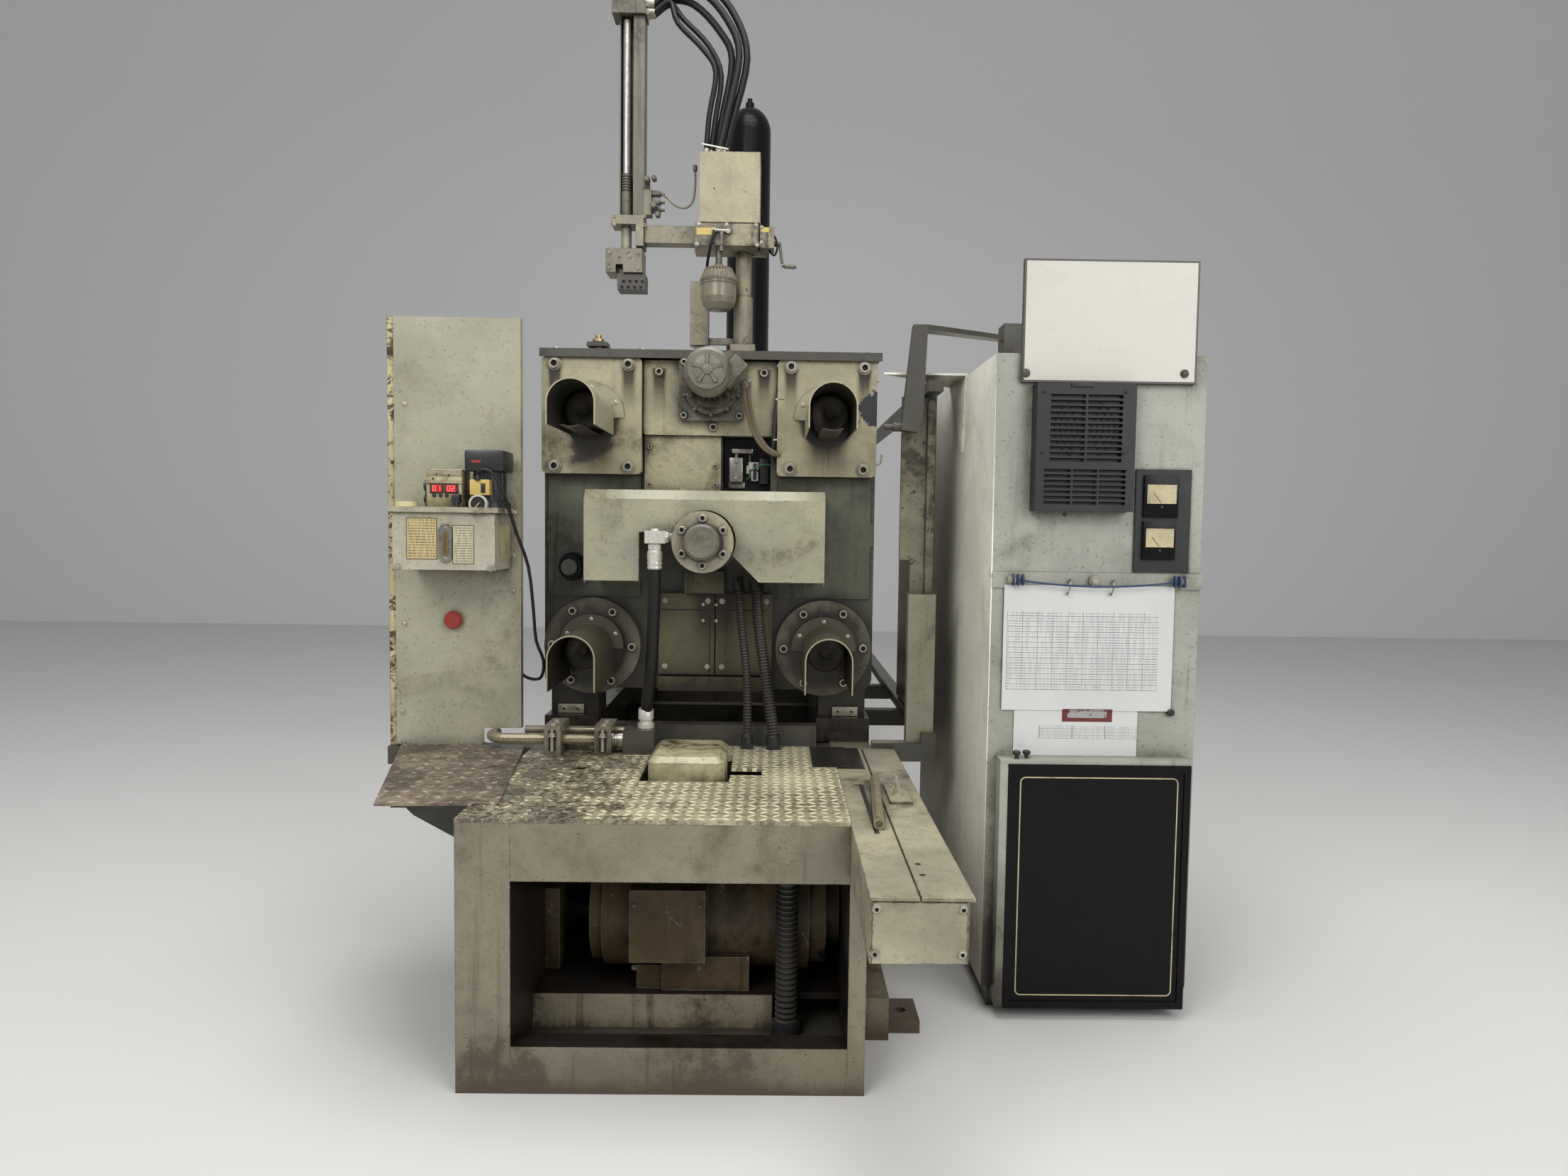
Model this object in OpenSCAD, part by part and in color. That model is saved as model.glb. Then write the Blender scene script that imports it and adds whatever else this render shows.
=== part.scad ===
// Cold-chamber die casting machine, modelled with +Z up and +Y along the machine from the
// clamping end to the injection end. The origin is on the floor, under the outer face of the
// link housing, on the machine's centreline. Millimetres.

/* [Clamping unit] */
// Height of the machine axis above the floor
axis_z = 1205; // [1180:5:1230]
// Half the tie-bar spacing across the machine
bar_x = 340; // [330:5:350]
// Half the tie-bar spacing in height
bar_z = 335; // [325:5:345]
// Diameter of a tie bar
bar_d = 120; // [100:2:124]
// How far the link housing reaches out past a tie bar's centre
housing_edge = 148; // [140:1:160]
// Thickness of the link housing's outer wall
housing_t = 150; // [120:5:180]
// Length of the toggle space between housing and moving platen
toggle_len = 900; // [880:5:940]
// How far a platen reaches out past a tie bar's centre
platen_edge = 90; // [82:1:96]
// Thickness of the moving platen
moving_t = 190; // [160:5:210]
// Distance between the platens
die_gap = 620; // [560:5:680]
// Thickness of the fixed platen
fixed_t = 210; // [180:5:240]

/* [Bed] */
// Height of the bed
bed_h = 592; // [580:2:600]
// Width of one side beam
beam_w = 118; // [100:2:124]
// How far the bed reaches out past the link housing
bed_front = 895; // [860:5:930]
// Length of the bed behind the link housing's face
bed_back = 3500; // [3400:10:3600]
// Height of the slide rails above the bed
rail_h = 70; // [60:2:80]
// Height of the sill under the motor bay
sill_h = 104; // [90:2:130]
// Depth of the header over the motor bay
header_h = 126; // [110:2:134]

/* [Covers] */
// Thickness of the deck plate
deck_t = 8; // [5:1:10]
// Length of a tie-bar guard
guard_len = 310; // [260:5:340]
// Outer radius of a tie-bar guard
guard_r = 64; // [60:1:72]
// Sheet thickness of a tie-bar guard
guard_t = 4; // [2:0.5:6]
// Width of the clamp cylinder's cover
cover_w = 660; // [620:4:668]
// Height of the clamp cylinder's cover
cover_h = 250; // [230:2:260]
// Reach of the clamp cylinder's cover
cover_reach = 235; // [200:5:260]

/* [Cabinet] */
// Width of the control cabinet
cab_w = 524; // [510:2:540]
// Depth of the control cabinet
cab_depth = 1110; // [1000:10:1150]
// Height of the control cabinet
cab_h = 1662; // [1655:1:1700]

/* [Sprayer] */
// Height of the sprayer's arm above the floor
arm_z = 2614; // [2600:2:2640]
// Reach of the sprayer's arm from its column
arm_reach = 566; // [550:2:600]
// Travel of the spray head
spray_travel = 700; // [600:10:720]
// Diameter of the spray rod
rod_d = 36; // [30:1:40]

/* [Hidden] */
$fn = 48;
gap = 0.3;
housing_w = 2 * (bar_x + housing_edge);
platen_w = 2 * (bar_x + platen_edge);
half_bed = housing_w / 2 - 8;
deck_top = bed_h + deck_t;
rail_top = bed_h + rail_h;
moving_y = housing_t + toggle_len;
die_y = moving_y + moving_t;
fixed_y = die_y + die_gap;
fixed_end = fixed_y + fixed_t;
housing_top = axis_z + 512;
housing_bottom = axis_z - 465;
opening_half = half_bed - beam_w;
trough_x = [opening_half, opening_half + 170];
trough_y = [-bed_front - 428, -150];
trough_bottom = bed_h - 110;
cab_x = half_bed + 254;
cab_y = -490;
panel_x = [-half_bed - 380, -half_bed - 32];
panel_y = -190;
panel_top = 1788;
tank_x = [panel_x[0] + 56, panel_x[0] + 322];
tank_z = [1102, 1252];
column_x = 29;
column_y = fixed_y + fixed_t / 2 + 90;
head_x = column_x - arm_reach;
guide_h = 930;
door_x = half_bed + 160;
door_len = 580;
anchor_x = half_bed + 40;
anchor_y = 560;

// Rounded rectangle about its own centre
module rounded_rect(w, h, r) {
    square([w - 2 * r, h], center = true);
    square([w, h - 2 * r], center = true);
    for (x = [-1, 1], y = [-1, 1])
        translate([x * (w / 2 - r), y * (h / 2 - r)]) circle(r);
}

// Extrudes an outline drawn in X and Z from the plane y towards the viewer, by t
module face_plate(y, t) {
    translate([0, y, 0]) rotate([90, 0, 0]) linear_extrude(t) children();
}

// A block given by its corners
module block(a, b) {
    translate(a) cube(b - a);
}

// A cylinder that runs along Y from y0 to y1
module rod_y(x, z, y0, y1, r) {
    translate([x, y1, z]) rotate([90, 0, 0]) cylinder(h = y1 - y0, r = r);
}

// A cylinder that runs along X from x0 to x1
module rod_x(y, z, x0, x1, r) {
    translate([x0, y, z]) rotate([0, 90, 0]) cylinder(h = x1 - x0, r = r);
}

// Points of a smooth curve through the given points, m steps a stretch
function curve_point(a, b, c, d, t) =
    0.5 * (2 * b + (c - a) * t + (2 * a - 5 * b + 4 * c - d) * t * t
        + (3 * b - a - 3 * c + d) * t * t * t);
function smooth_path(p, m) = [
    for (i = [0 : len(p) - 2]) for (k = [0 : m - 1])
        curve_point(p[max(i - 1, 0)], p[i], p[i + 1], p[min(i + 2, len(p) - 1)], k / m),
    p[len(p) - 1]];
function unit(v) = v / norm(v);
function tangent(p, i) = unit(p[min(i + 1, len(p) - 1)] - p[max(i - 1, 0)]);
function ring(c, t, side, r, n) =
    let (v = unit(cross(t, side)), u = cross(v, t))
    [for (k = [0 : n - 1]) c + r * cos(360 * k / n) * u + r * sin(360 * k / n) * v];

// A hose of radius r along a path; side is a direction that the path never follows
module hose(path, r, side, n = 8) {
    m = len(path);
    points = [for (i = [0 : m - 1]) each ring(path[i], tangent(path, i), side, r, n)];
    faces = concat(
        [[for (k = [0 : n - 1]) k]],
        [for (i = [0 : m - 2], k = [0 : n - 1])
            [i * n + k, (i + 1) * n + k, (i + 1) * n + (k + 1) % n, i * n + (k + 1) % n]],
        [[for (k = [n - 1 : -1 : 0]) (m - 1) * n + k]]);
    polyhedron(points, faces);
}

// Side beam of the bed: a web with flanges and ribs towards the outside
module side_beam(s, low_end) {
    pocket_d = beam_w * 0.55;
    bays = 9;
    bay = (bed_back + bed_front - 60) / bays;
    difference() {
        block([s > 0 ? opening_half : -half_bed, -bed_front, 0],
              [s > 0 ? half_bed : -opening_half, bed_back, bed_h]);
        for (i = [0 : bays - 1])
            translate([s > 0 ? half_bed - pocket_d : -half_bed - 1, -bed_front + 60 + i * bay, sill_h])
                cube([pocket_d + 1, bay - 60, trough_bottom - sill_h - 60]);
        if (low_end) {
            block([0, -bed_front - 1, trough_bottom], [half_bed + 1, trough_y[1], bed_h + 1]);
            block([opening_half + 38, -bed_front - 1, -1], [half_bed + 1, -bed_front + 240, trough_bottom + 1]);
        }
    }
}

// Foot lugs that carry the anchor bolts
module foot_lugs(s) {
    for (y = [-anchor_y, anchor_y, bed_back - 900, bed_back - 200])
        difference() {
            block([s > 0 ? half_bed : -half_bed - 80, y - 60, 0],
                  [s > 0 ? half_bed + 80 : -half_bed, y + 60, 30]);
            translate([s * anchor_x, y, -1]) cylinder(h = 32, r = 13);
        }
}

module bed_left_beam() {
    color("darkkhaki") {
        side_beam(-1, false);
        foot_lugs(-1);
    }
}

module bed_right_beam() {
    color("darkkhaki") {
        side_beam(1, true);
        foot_lugs(1);
    }
}

module front_header() {
    color("darkkhaki")
        block([-opening_half, -bed_front, bed_h - header_h], [trough_x[0], -bed_front + 40, bed_h]);
}

module front_sill() {
    color("darkkhaki")
        block([-opening_half, -bed_front, 0], [opening_half, -bed_front + 60, sill_h]);
}

// Cross members between the side beams, and the floor of the motor bay
module bed_cross_members() {
    color("dimgray") {
        block([-opening_half, -bed_front + 60, 30], [opening_half, 0, 45]);
        block([-opening_half, -60, 0], [opening_half, 60, 30]);
        for (y = [40, 900, fixed_y, bed_back - 100])
            block([-opening_half, y, 60], [opening_half, y + 60, bed_h - 60]);
        block([-opening_half, -110, bed_h - 80], [opening_half, -60, bed_h]);
        block([-opening_half + 42, -110, bed_h], [opening_half - 42, -60, rail_top - 10]);
    }
}

// Two hardened rails under the platens
module slide_rails() {
    color("slategray")
        for (s = [-1, 1])
            block([s > 0 ? opening_half - 40 : -half_bed, -40, bed_h],
                  [s > 0 ? half_bed : -opening_half + 40, fixed_end + 60, rail_top]);
}

cap_x = [-113, 77];
cap_y = [-560, -330];
deck_end = -150;

// Deck of chequer plate over the motor bay, with its cut-out, slot and oil hole
module deck_plate() {
    color("tan")
        difference() {
            block([-half_bed, -bed_front, bed_h], [trough_x[0], deck_end, deck_top]);
            block([cap_x[0] - 22, cap_y[0], bed_h - 1], [cap_x[1] + 10, cap_y[1] + 20, deck_top + 1]);
            block([cap_x[1] + 5, cap_y[0] + 70, bed_h - 1], [cap_x[1] + 90, cap_y[0] + 140, deck_top + 1]);
            translate([-300, -420, bed_h - 1]) cylinder(h = deck_t + 2, r = 26);
        }
}

// Loose plate that lies on the deck's edge and on the brackets beside it
module side_deck() {
    y1 = panel_y - 6;
    color("saddlebrown")
        translate([0, 0, deck_top]) linear_extrude(5)
            polygon([[-half_bed - 365, y1], [-half_bed - 20, y1], [-half_bed + 66, -790],
                [-half_bed - 204, -806]]);
}

// Brackets on the side beam that carry the side deck and the panel
module side_stand() {
    color("dimgray") {
        block([panel_x[0] - 20, panel_y - 16, bed_h - 42], [-half_bed, panel_y + 50, deck_top]);
        block([-half_bed - 230, -640, bed_h - 42], [-half_bed, -590, deck_top]);
        for (p = [[panel_y, 340], [panel_y + 40, 340], [-622, 200]])
            translate([0, p[0], 0]) rotate([90, 0, 0]) linear_extrude(8)
                polygon([[-half_bed, bed_h - 42], [-half_bed - p[1], bed_h - 42],
                    [-half_bed - p[1] + 20, bed_h - 62], [-half_bed, bed_h - 160]]);
    }
}

// Pressed cap that stands in the deck's cut-out on the header tank
module deck_cap() {
    h = 62;
    r = 22;
    w = cap_x[1] - cap_x[0];
    l = cap_y[1] - cap_y[0];
    color("khaki")
        translate([(cap_x[0] + cap_x[1]) / 2, (cap_y[0] + cap_y[1]) / 2, bed_h - 90]) {
            linear_extrude(80 + h) rounded_rect(w, l, r);
            translate([0, 0, 80 + h]) linear_extrude(14, scale = 0.86) rounded_rect(w, l, r);
        }
}

// Cable trough along the right edge of the deck, with its end plate and lid
module cable_trough() {
    color("darkkhaki") {
        block([trough_x[0], trough_y[0], trough_bottom], [trough_x[1], trough_y[1], bed_h]);
        block([trough_x[0] + 4, trough_y[0] - 4, trough_bottom + 2],
              [trough_x[1] - 4, trough_y[0], bed_h - 2]);
        block([trough_x[0], trough_y[0] - 2, bed_h], [trough_x[0] + 84, deck_end, deck_top - 3]);
        block([trough_x[0] + 88, trough_y[0] - 2, bed_h], [trough_x[1] + 10, deck_end, deck_top - 3]);
    }
}

motor_y = -530;
motor_z = 290;
shelf_z = 126;
motor_r = 150;
conduit_at = [232, -712];

// Pump motor that lies across the bay, with its terminal box and feet
module pump_motor() {
    color("dimgray") {
        rod_x(motor_y, motor_z, -205, 255, motor_r);
        rod_x(motor_y, motor_z, -235, -200, motor_r - 14);
        rod_x(motor_y, motor_z, 250, 285, motor_r + 6);
        block([-132, motor_y - motor_r - 46, motor_z - 73], [43, motor_y - 100, motor_z + 97]);
        block([-62, motor_y - motor_r + 10, shelf_z], [144, motor_y + 100, motor_z - 82]);
        block([-123, motor_y - motor_r + 20, shelf_z], [-60, motor_y + 100, motor_z - 108]);
    }
}

// Shelf that carries the motor, and its raised front rail
module motor_bracket() {
    top = shelf_z;
    color("darkkhaki") {
        block([-opening_half, motor_y - 144, top - 16], [opening_half, motor_y + 180, top]);
        block([-opening_half, motor_y - 160, 45], [200, motor_y - 144, top]);
    }
}

// Hydraulic pump on the motor's flange
module hydraulic_pump() {
    color("darkslategray") {
        rod_x(motor_y, motor_z, 285 + gap, 325, motor_r - 10);
        rod_x(motor_y, motor_z, 325, opening_half - 4, 100);
    }
}

// Housing that carries the tie-bar nuts and the toggle's fixed pins
module link_housing() {
    r = 36;
    mid_z = (housing_top + housing_bottom) / 2;
    lug_w = 60;
    color("olive")
        difference() {
            union() {
                face_plate(housing_t, housing_t)
                    translate([0, mid_z]) rounded_rect(housing_w, housing_top - housing_bottom, r);
                for (s = [-1, 1])
                    block([s > 0 ? half_bed - 150 : -half_bed + 10, 10, rail_top],
                          [s > 0 ? half_bed - 10 : -half_bed + 150, housing_t, housing_bottom + 40]);
                for (s = [-1, 1], z = [-1, 1])
                    for (x = [105, 235])
                        translate([s * x - lug_w / 2, housing_t - 1, axis_z + z * toggle_z - 70])
                            cube([lug_w, 131, 140]);
            }
            for (s = [-1, 1], z = [-1, 1])
                rod_y(s * bar_x, axis_z + z * bar_z, -1, housing_t + 1, bar_d / 2 + gap);
            block([37, -1, axis_z + 109], [178, housing_t - 40, axis_z + 286]);
            rod_y(0, cylinder_z, -1, housing_t + 1, cylinder_r + gap);
            for (s = [-1, 1], z = [-1, 1])
                rod_x(housing_t + 75, axis_z + z * toggle_z,
                    s > 0 ? 60 : -280, s > 0 ? 280 : -60, pin_r + gap);
        }
}

cylinder_r = 90;
cylinder_z = axis_z - 22;
cover_top = axis_z + 118;
toggle_z = 215;
pin_r = 32;
knee_y = (housing_t + moving_y) / 2 + 20;

// Flat lid over the housing with a drip edge towards the viewer
module housing_lid() {
    color("dimgray") {
        block([-housing_w / 2, -72, housing_top], [housing_w / 2 + 8, housing_t, housing_top + 12]);
        block([-housing_w / 2, -72, housing_top - 12], [housing_w / 2 + 8, -66, housing_top]);
        translate([-bar_x + 12, -20, housing_top + 12]) cylinder(h = 28, r = 18);
        block([-bar_x - 18, -45, housing_top + 24], [-bar_x + 42, 5, housing_top + 36]);
    }
}

nut_w = 288;
nut_h = 334;
nut_t = 60;

// Square housings over the two upper tie-bar nuts
module upper_nut_housings() {
    color("khaki")
        for (s = [-1, 1])
            difference() {
                face_plate(0, nut_t)
                    translate([s * bar_x, axis_z + bar_z]) rounded_rect(nut_w, nut_h, 14);
                rod_y(s * bar_x, axis_z + bar_z, -nut_t - 1, 1, bar_d / 2 + gap);
            }
}

flange_r = housing_edge - 7;
flange_t = 40;

// Round flanges over the two lower tie-bar nuts
module lower_nut_flanges() {
    color("olive")
        for (s = [-1, 1])
            difference() {
                union() {
                    rod_y(s * bar_x, axis_z - bar_z, -flange_t, 0, flange_r);
                    rod_y(s * bar_x, axis_z - bar_z, -flange_t - 14, -flange_t, flange_r * 0.62);
                }
                rod_y(s * bar_x, axis_z - bar_z, -flange_t - 15, 1, bar_d / 2 + gap);
            }
}

center_z = [axis_z + 284, housing_top - 14];
center_x = [-bar_x + nut_w / 2 + 3, bar_x - nut_w / 2 - 3];

// Plate between the nut housings that carries the die-height motor
module center_plate() {
    w = center_x[1] - center_x[0];
    h = center_z[1] - center_z[0];
    color("khaki") {
        face_plate(0, 40)
            translate([0, (center_z[0] + center_z[1]) / 2]) rounded_rect(w, h, 8);
        block([center_x[0] + 2, -24, cover_top], [32, 0, center_z[0] - 1]);
    }
}

// Screwed plates under and beside the cylinder, the ledge below them and the round cap at the left
module inspection_cover() {
    color("darkkhaki") {
        block([-146, -30, housing_bottom + 46], [18, 0, axis_z - 178]);
        block([22, -30, housing_bottom + 46], [188, 0, axis_z - 178]);
        block([-146, -46, housing_bottom], [190, 0, housing_bottom + 42]);
        difference() {
            for (s = [-1, 1])
                face_plate(0, 8)
                    polygon([[s * (bar_x - 136), axis_z + 166], [s * (bar_x + 136), axis_z + 166],
                        [s * (bar_x + 136), axis_z + 36], [s * (bar_x + 146), axis_z + 30],
                        [s * (bar_x + 146), axis_z - 30], [s * (bar_x + 136), axis_z - 36],
                        [s * (bar_x + 136), axis_z - 190], [s * (bar_x - 136), axis_z - 190]]);
            block([-cover_w / 2 - gap, -9, cover_top - cover_h - 7], [cover_w / 2 + gap, 1, cover_top + gap]);
        }
        rod_y(-bar_x - 62, axis_z - 104, -18, -8, 42);
        rod_y(-bar_x - 62, axis_z - 104, -62, -18, 33);
    }
}

// Inverted trough of sheet over a tie bar's end, with its foot flange
module tie_bar_guard(s, z, leg, root) {
    cz = axis_z + z * bar_z;
    module outline(r) {
        translate([s * bar_x, cz]) circle(r);
        translate([s * bar_x - r, cz - leg]) square([2 * r, leg]);
    }
    color("tan")
        difference() {
            union() {
                face_plate(-root, guard_len) outline(guard_r);
                face_plate(-root, guard_t)
                    difference() {
                        translate([s * bar_x, cz]) circle(guard_r + 30);
                        translate([s * bar_x - 200, cz - 200]) square([400, 194]);
                    }
            }
            face_plate(-root + 1, guard_len + 2)
                difference() {
                    union() {
                        translate([s * bar_x, cz]) circle(guard_r - guard_t);
                        translate([s * bar_x - guard_r + guard_t, cz - leg - 1])
                            square([2 * (guard_r - guard_t), leg + 1]);
                    }
                }
        }
}

module guard_upper_left() tie_bar_guard(-1, 1, 56, nut_t);
module guard_upper_right() tie_bar_guard(1, 1, 56, nut_t);
module guard_lower_left() tie_bar_guard(-1, -1, 86, flange_t + 14);
module guard_lower_right() tie_bar_guard(1, -1, 86, flange_t + 14);

// Tie bar from its stub in the guard to the nut on the fixed platen
module tie_bar(s, z) {
    cz = axis_z + z * bar_z;
    stub = z > 0 ? nut_t : flange_t + 14;
    color("silver") {
        rod_y(s * bar_x, cz, -stub - 120, fixed_end + 260, bar_d / 2 - 8);
        rod_y(s * bar_x, cz, -stub + 6, fixed_end + 130, bar_d / 2);
        rod_y(s * bar_x, cz, fixed_end, fixed_end + 100, bar_d / 2 + 34);
    }
}

module tie_bar_upper_left() tie_bar(-1, 1);
module tie_bar_upper_right() tie_bar(1, 1);
module tie_bar_lower_left() tie_bar(-1, -1);
module tie_bar_lower_right() tie_bar(1, -1);

end_y = -cover_reach - 115;

// Clamp cylinder with its six-bolt end flange and cap
module clamp_cylinder() {
    color("dimgray") {
        rod_y(0, cylinder_z, end_y + 60, housing_t + 180, cylinder_r - 12);
        rod_y(0, cylinder_z, 2, housing_t - 2, cylinder_r);
        rod_y(0, cylinder_z, end_y + 40, end_y + 62, 83);
        rod_y(0, cylinder_z, end_y, end_y + 42, 46);
        rod_y(0, cylinder_z, housing_t + 180, knee_y - 90, 45);
        translate(hose_top + [-26, -16, -22]) cube([56, 32, 34]);
        translate(hose_top + [20, 0, -5]) rotate([0, 90, 0]) cylinder(h = 60, r = 12);
    }
}

// Folded sheet cover over the clamp cylinder, open below, with its two notches
module cylinder_cover() {
    t = 3;
    z1 = cover_top;
    z0 = z1 - cover_h;
    hw = cover_w / 2;
    c = 26;
    front = [[-hw, z0], [-179, z0], [-179, axis_z + 2], [16, axis_z + 2],
        [150, z0], [hw, z0], [hw, z1], [-hw, z1]];
    color("darkkhaki")
        difference() {
            translate([-hw, -cover_reach, z0 - 6])
                rotate([90, 0, 90]) linear_extrude(cover_w)
                    polygon([[0, 0], [cover_reach, 0], [cover_reach, cover_h + 6],
                        [c, cover_h + 6], [0, cover_h + 6 - c]]);
            translate([-hw + t, -cover_reach + t, z0 - 7])
                rotate([90, 0, 90]) linear_extrude(cover_w - 2 * t)
                    polygon([[0, 0], [cover_reach, 0], [cover_reach, cover_h + 7 - t],
                        [c, cover_h + 7 - t], [0, cover_h + 7 - t - c]]);
            face_plate(-cover_reach + t + 1, t + 2)
                difference() {
                    translate([-hw - 1, z0 - 7]) square([cover_w + 2, cover_h + 9]);
                    polygon(front);
                }
            rod_y(0, cylinder_z, -cover_reach - 1, -cover_reach + t + 1, cylinder_r - 4);
        }
}

adjust_z = axis_z + 418;

// Geared die-height motor: square foot, stepped gear case, ribbed cowl and terminal box
module adjust_motor() {
    color("darkkhaki") {
        face_plate(-40, 26) translate([6, adjust_z - 4]) rounded_rect(188, 180, 16);
        rod_y(6, adjust_z, -100, -66, 78);
        rod_y(6, adjust_z + 10, -140, -100, 72);
        rod_y(6, adjust_z + 22, -236, -140, 62);
        rod_y(6, adjust_z + 22, -268, -236, 52);
        rod_y(6, adjust_z + 22, -276, -268, 13);
        translate([58, -190, adjust_z + 34]) rotate([0, 40, 0]) cube([56, 84, 74], center = true);
    }
}

// One toggle bar between two pins
module link_bar(y0, z0, y1, z1, x0, x1, r) {
    l = norm([y1 - y0, z1 - z0]);
    a = atan2(z1 - z0, y1 - y0);
    translate([x0, y0, z0]) rotate([a, 0, 0]) {
        translate([0, 0, -r + 6]) cube([x1 - x0, l, 2 * r - 12]);
        rod_x(0, 0, 0, x1 - x0, r);
        rod_x(l, 0, 0, x1 - x0, r);
    }
}

// Upper and lower toggle pairs with their pins and the crosshead between them
module toggle_links() {
    y0 = housing_t + 75;
    y1 = moving_y - 75;
    ym = knee_y;
    color("slategray") {
        for (s = [-1, 1], z = [-1, 1]) {
            pivot_z = axis_z + z * toggle_z;
            knee_z = axis_z + z * (toggle_z + 34);
            xc = s * 170;
            link_bar(y0, pivot_z, ym, knee_z, xc - 34, xc + 34, 52);
            link_bar(ym, knee_z, y1, pivot_z, xc - 30, xc + 30, 48);
            rod_x(y0, pivot_z, xc - 100, xc + 100, pin_r);
            rod_x(y1, pivot_z, xc - 100, xc + 100, pin_r);
            rod_x(ym, knee_z, xc - 72, xc + 72, 36);
            block([xc - s * 60 - 12, ym - 60, min(knee_z, axis_z + z * 80)],
                  [xc - s * 60 + 12, ym - 10, max(knee_z, axis_z + z * 80)]);
        }
        block([-150, ym - 90, axis_z - 90], [150, ym - 5, axis_z + 90]);
    }
}

// Moving platen with its toggle lugs and feet on the rails
module moving_platen() {
    lug_w = 60;
    color("darkkhaki")
        difference() {
            union() {
                face_plate(die_y, moving_t) translate([0, axis_z]) rounded_rect(platen_w, platen_w, 30);
                for (s = [-1, 1])
                    block([s > 0 ? opening_half - 20 : -half_bed + 40, moving_y + 10, rail_top],
                          [s > 0 ? half_bed - 40 : -opening_half + 20, die_y - 10, axis_z - platen_w / 2 + 20]);
                for (s = [-1, 1], z = [-1, 1], x = [105, 235])
                    translate([s * x - lug_w / 2, moving_y - 130, axis_z + z * toggle_z - 70])
                        cube([lug_w, 131, 140]);
            }
            for (s = [-1, 1], z = [-1, 1])
                rod_y(s * bar_x, axis_z + z * bar_z, moving_y - 1, die_y + 1, bar_d / 2 + gap);
            for (s = [-1, 1], z = [-1, 1])
                rod_x(moving_y - 75, axis_z + z * toggle_z,
                    s > 0 ? 60 : -280, s > 0 ? 280 : -60, pin_r + gap);
            for (s = [-1, 1], z = [-1, 1])
                rod_y(s * 180, axis_z + z * 180, die_y - 50, die_y + 1, 11);
        }
}

sleeve_r = 55;

// Fixed platen on the bed, bored for the tie bars and the shot sleeve
module fixed_platen() {
    color("darkkhaki")
        difference() {
            union() {
                face_plate(fixed_end, fixed_t) translate([0, axis_z]) rounded_rect(platen_w, platen_w, 30);
                block([-platen_w / 2 + 30, fixed_y + 10, bed_h + 1],
                      [platen_w / 2 - 30, fixed_end - 10, axis_z - platen_w / 2 + 20]);
            }
            for (s = [-1, 1])
                block([s > 0 ? opening_half - 42 : -half_bed - 1, fixed_y, bed_h],
                      [s > 0 ? half_bed + 1 : -opening_half + 42, fixed_end + 1, rail_top]);
            for (s = [-1, 1], z = [-1, 1])
                rod_y(s * bar_x, axis_z + z * bar_z, fixed_y - 1, fixed_end + 1, bar_d / 2 + gap);
            rod_y(0, axis_z - 120, fixed_y - 1, fixed_end + 1, sleeve_r + gap);
            for (s = [-1, 1], z = [-1, 1])
                rod_y(s * 180, axis_z + z * 180, fixed_y - 1, fixed_y + 50, 11);
        }
}

shot_z = axis_z - 120;
shot_y = fixed_end + 560;

// Bracket frame between fixed platen and shot cylinder
module shot_frame() {
    color("darkkhaki") {
        for (s = [-1, 1])
            block([s > 0 ? 150 : -210, fixed_end, shot_z - 60], [s > 0 ? 210 : -150, shot_y, shot_z + 60]);
        difference() {
            block([-250, shot_y, bed_h], [250, shot_y + 120, shot_z + 190]);
            rod_y(0, shot_z, shot_y - 1, shot_y + 121, 70 + gap);
        }
        block([-200, shot_y + 600, bed_h], [200, shot_y + 660, shot_z - 105 - gap]);
    }
}

// Shot cylinder with sleeve, plunger rod, and the accumulator above it
module shot_cylinder() {
    color("dimgray") {
        rod_y(0, shot_z, fixed_y, fixed_end + 190, sleeve_r);
        rod_y(0, shot_z, fixed_end + 190, shot_y, 34);
        rod_y(0, shot_z, shot_y, shot_y + 120, 70);
        rod_y(0, shot_z, shot_y + 120 + gap, shot_y + 720, 105);
        rod_y(0, shot_z, shot_y + 720, shot_y + 780, 125);
        block([-110, shot_y + 150, shot_z + 60], [110, shot_y + 420, shot_z + 260]);
        translate([bottle_x, bottle_y, shot_z + 260]) cylinder(h = bottle_z - shot_z - 260, r = 60);
        translate([-10, shot_y + 350, shot_z + 260]) cylinder(h = 380, r = 70);
    }
}

bottle_x = 26;
bottle_y = shot_y + 220;
bottle_z = 1780;
bottle_r = 120;

// Nitrogen bottle with its dome, neck and cap
module gas_bottle() {
    dome_z = 3440;
    dome_h = 140;
    color("black")
        translate([bottle_x, bottle_y, bottle_z])
            rotate_extrude() polygon(concat(
                [[0, 0], [bottle_r - 20, 0], [bottle_r, 20]],
                [for (a = [0 : 9 : 81]) [bottle_r * cos(a), dome_z - bottle_z + dome_h * sin(a)]],
                [[24, dome_z - bottle_z + dome_h], [24, dome_z - bottle_z + dome_h + 26],
                 [14, dome_z - bottle_z + dome_h + 30], [14, dome_z - bottle_z + dome_h + 50],
                 [0, dome_z - bottle_z + dome_h + 50]]));
}

hose_top = [-132, -cover_reach - 30, axis_z - 6];

// Pressure hose from the cylinder's elbow down to the pipe block, with both fittings
module main_hose() {
    color("dimgray") {
        hose(concat([hose_top + [0, 0, -80]],
            smooth_path([hose_top + [0, 0, -100], hose_top + [-2, 6, -200], hose_top + [-8, 14, -340],
                hose_top + [-20, 28, -450], [-158, -226, block_top + 30]], 5),
            [[-158, -226, block_top + gap]]), 17, [1, 0, 0], 10);
        translate(hose_top + [0, 0, -92]) cylinder(h = 70, r = 19);
    }
}

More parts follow.
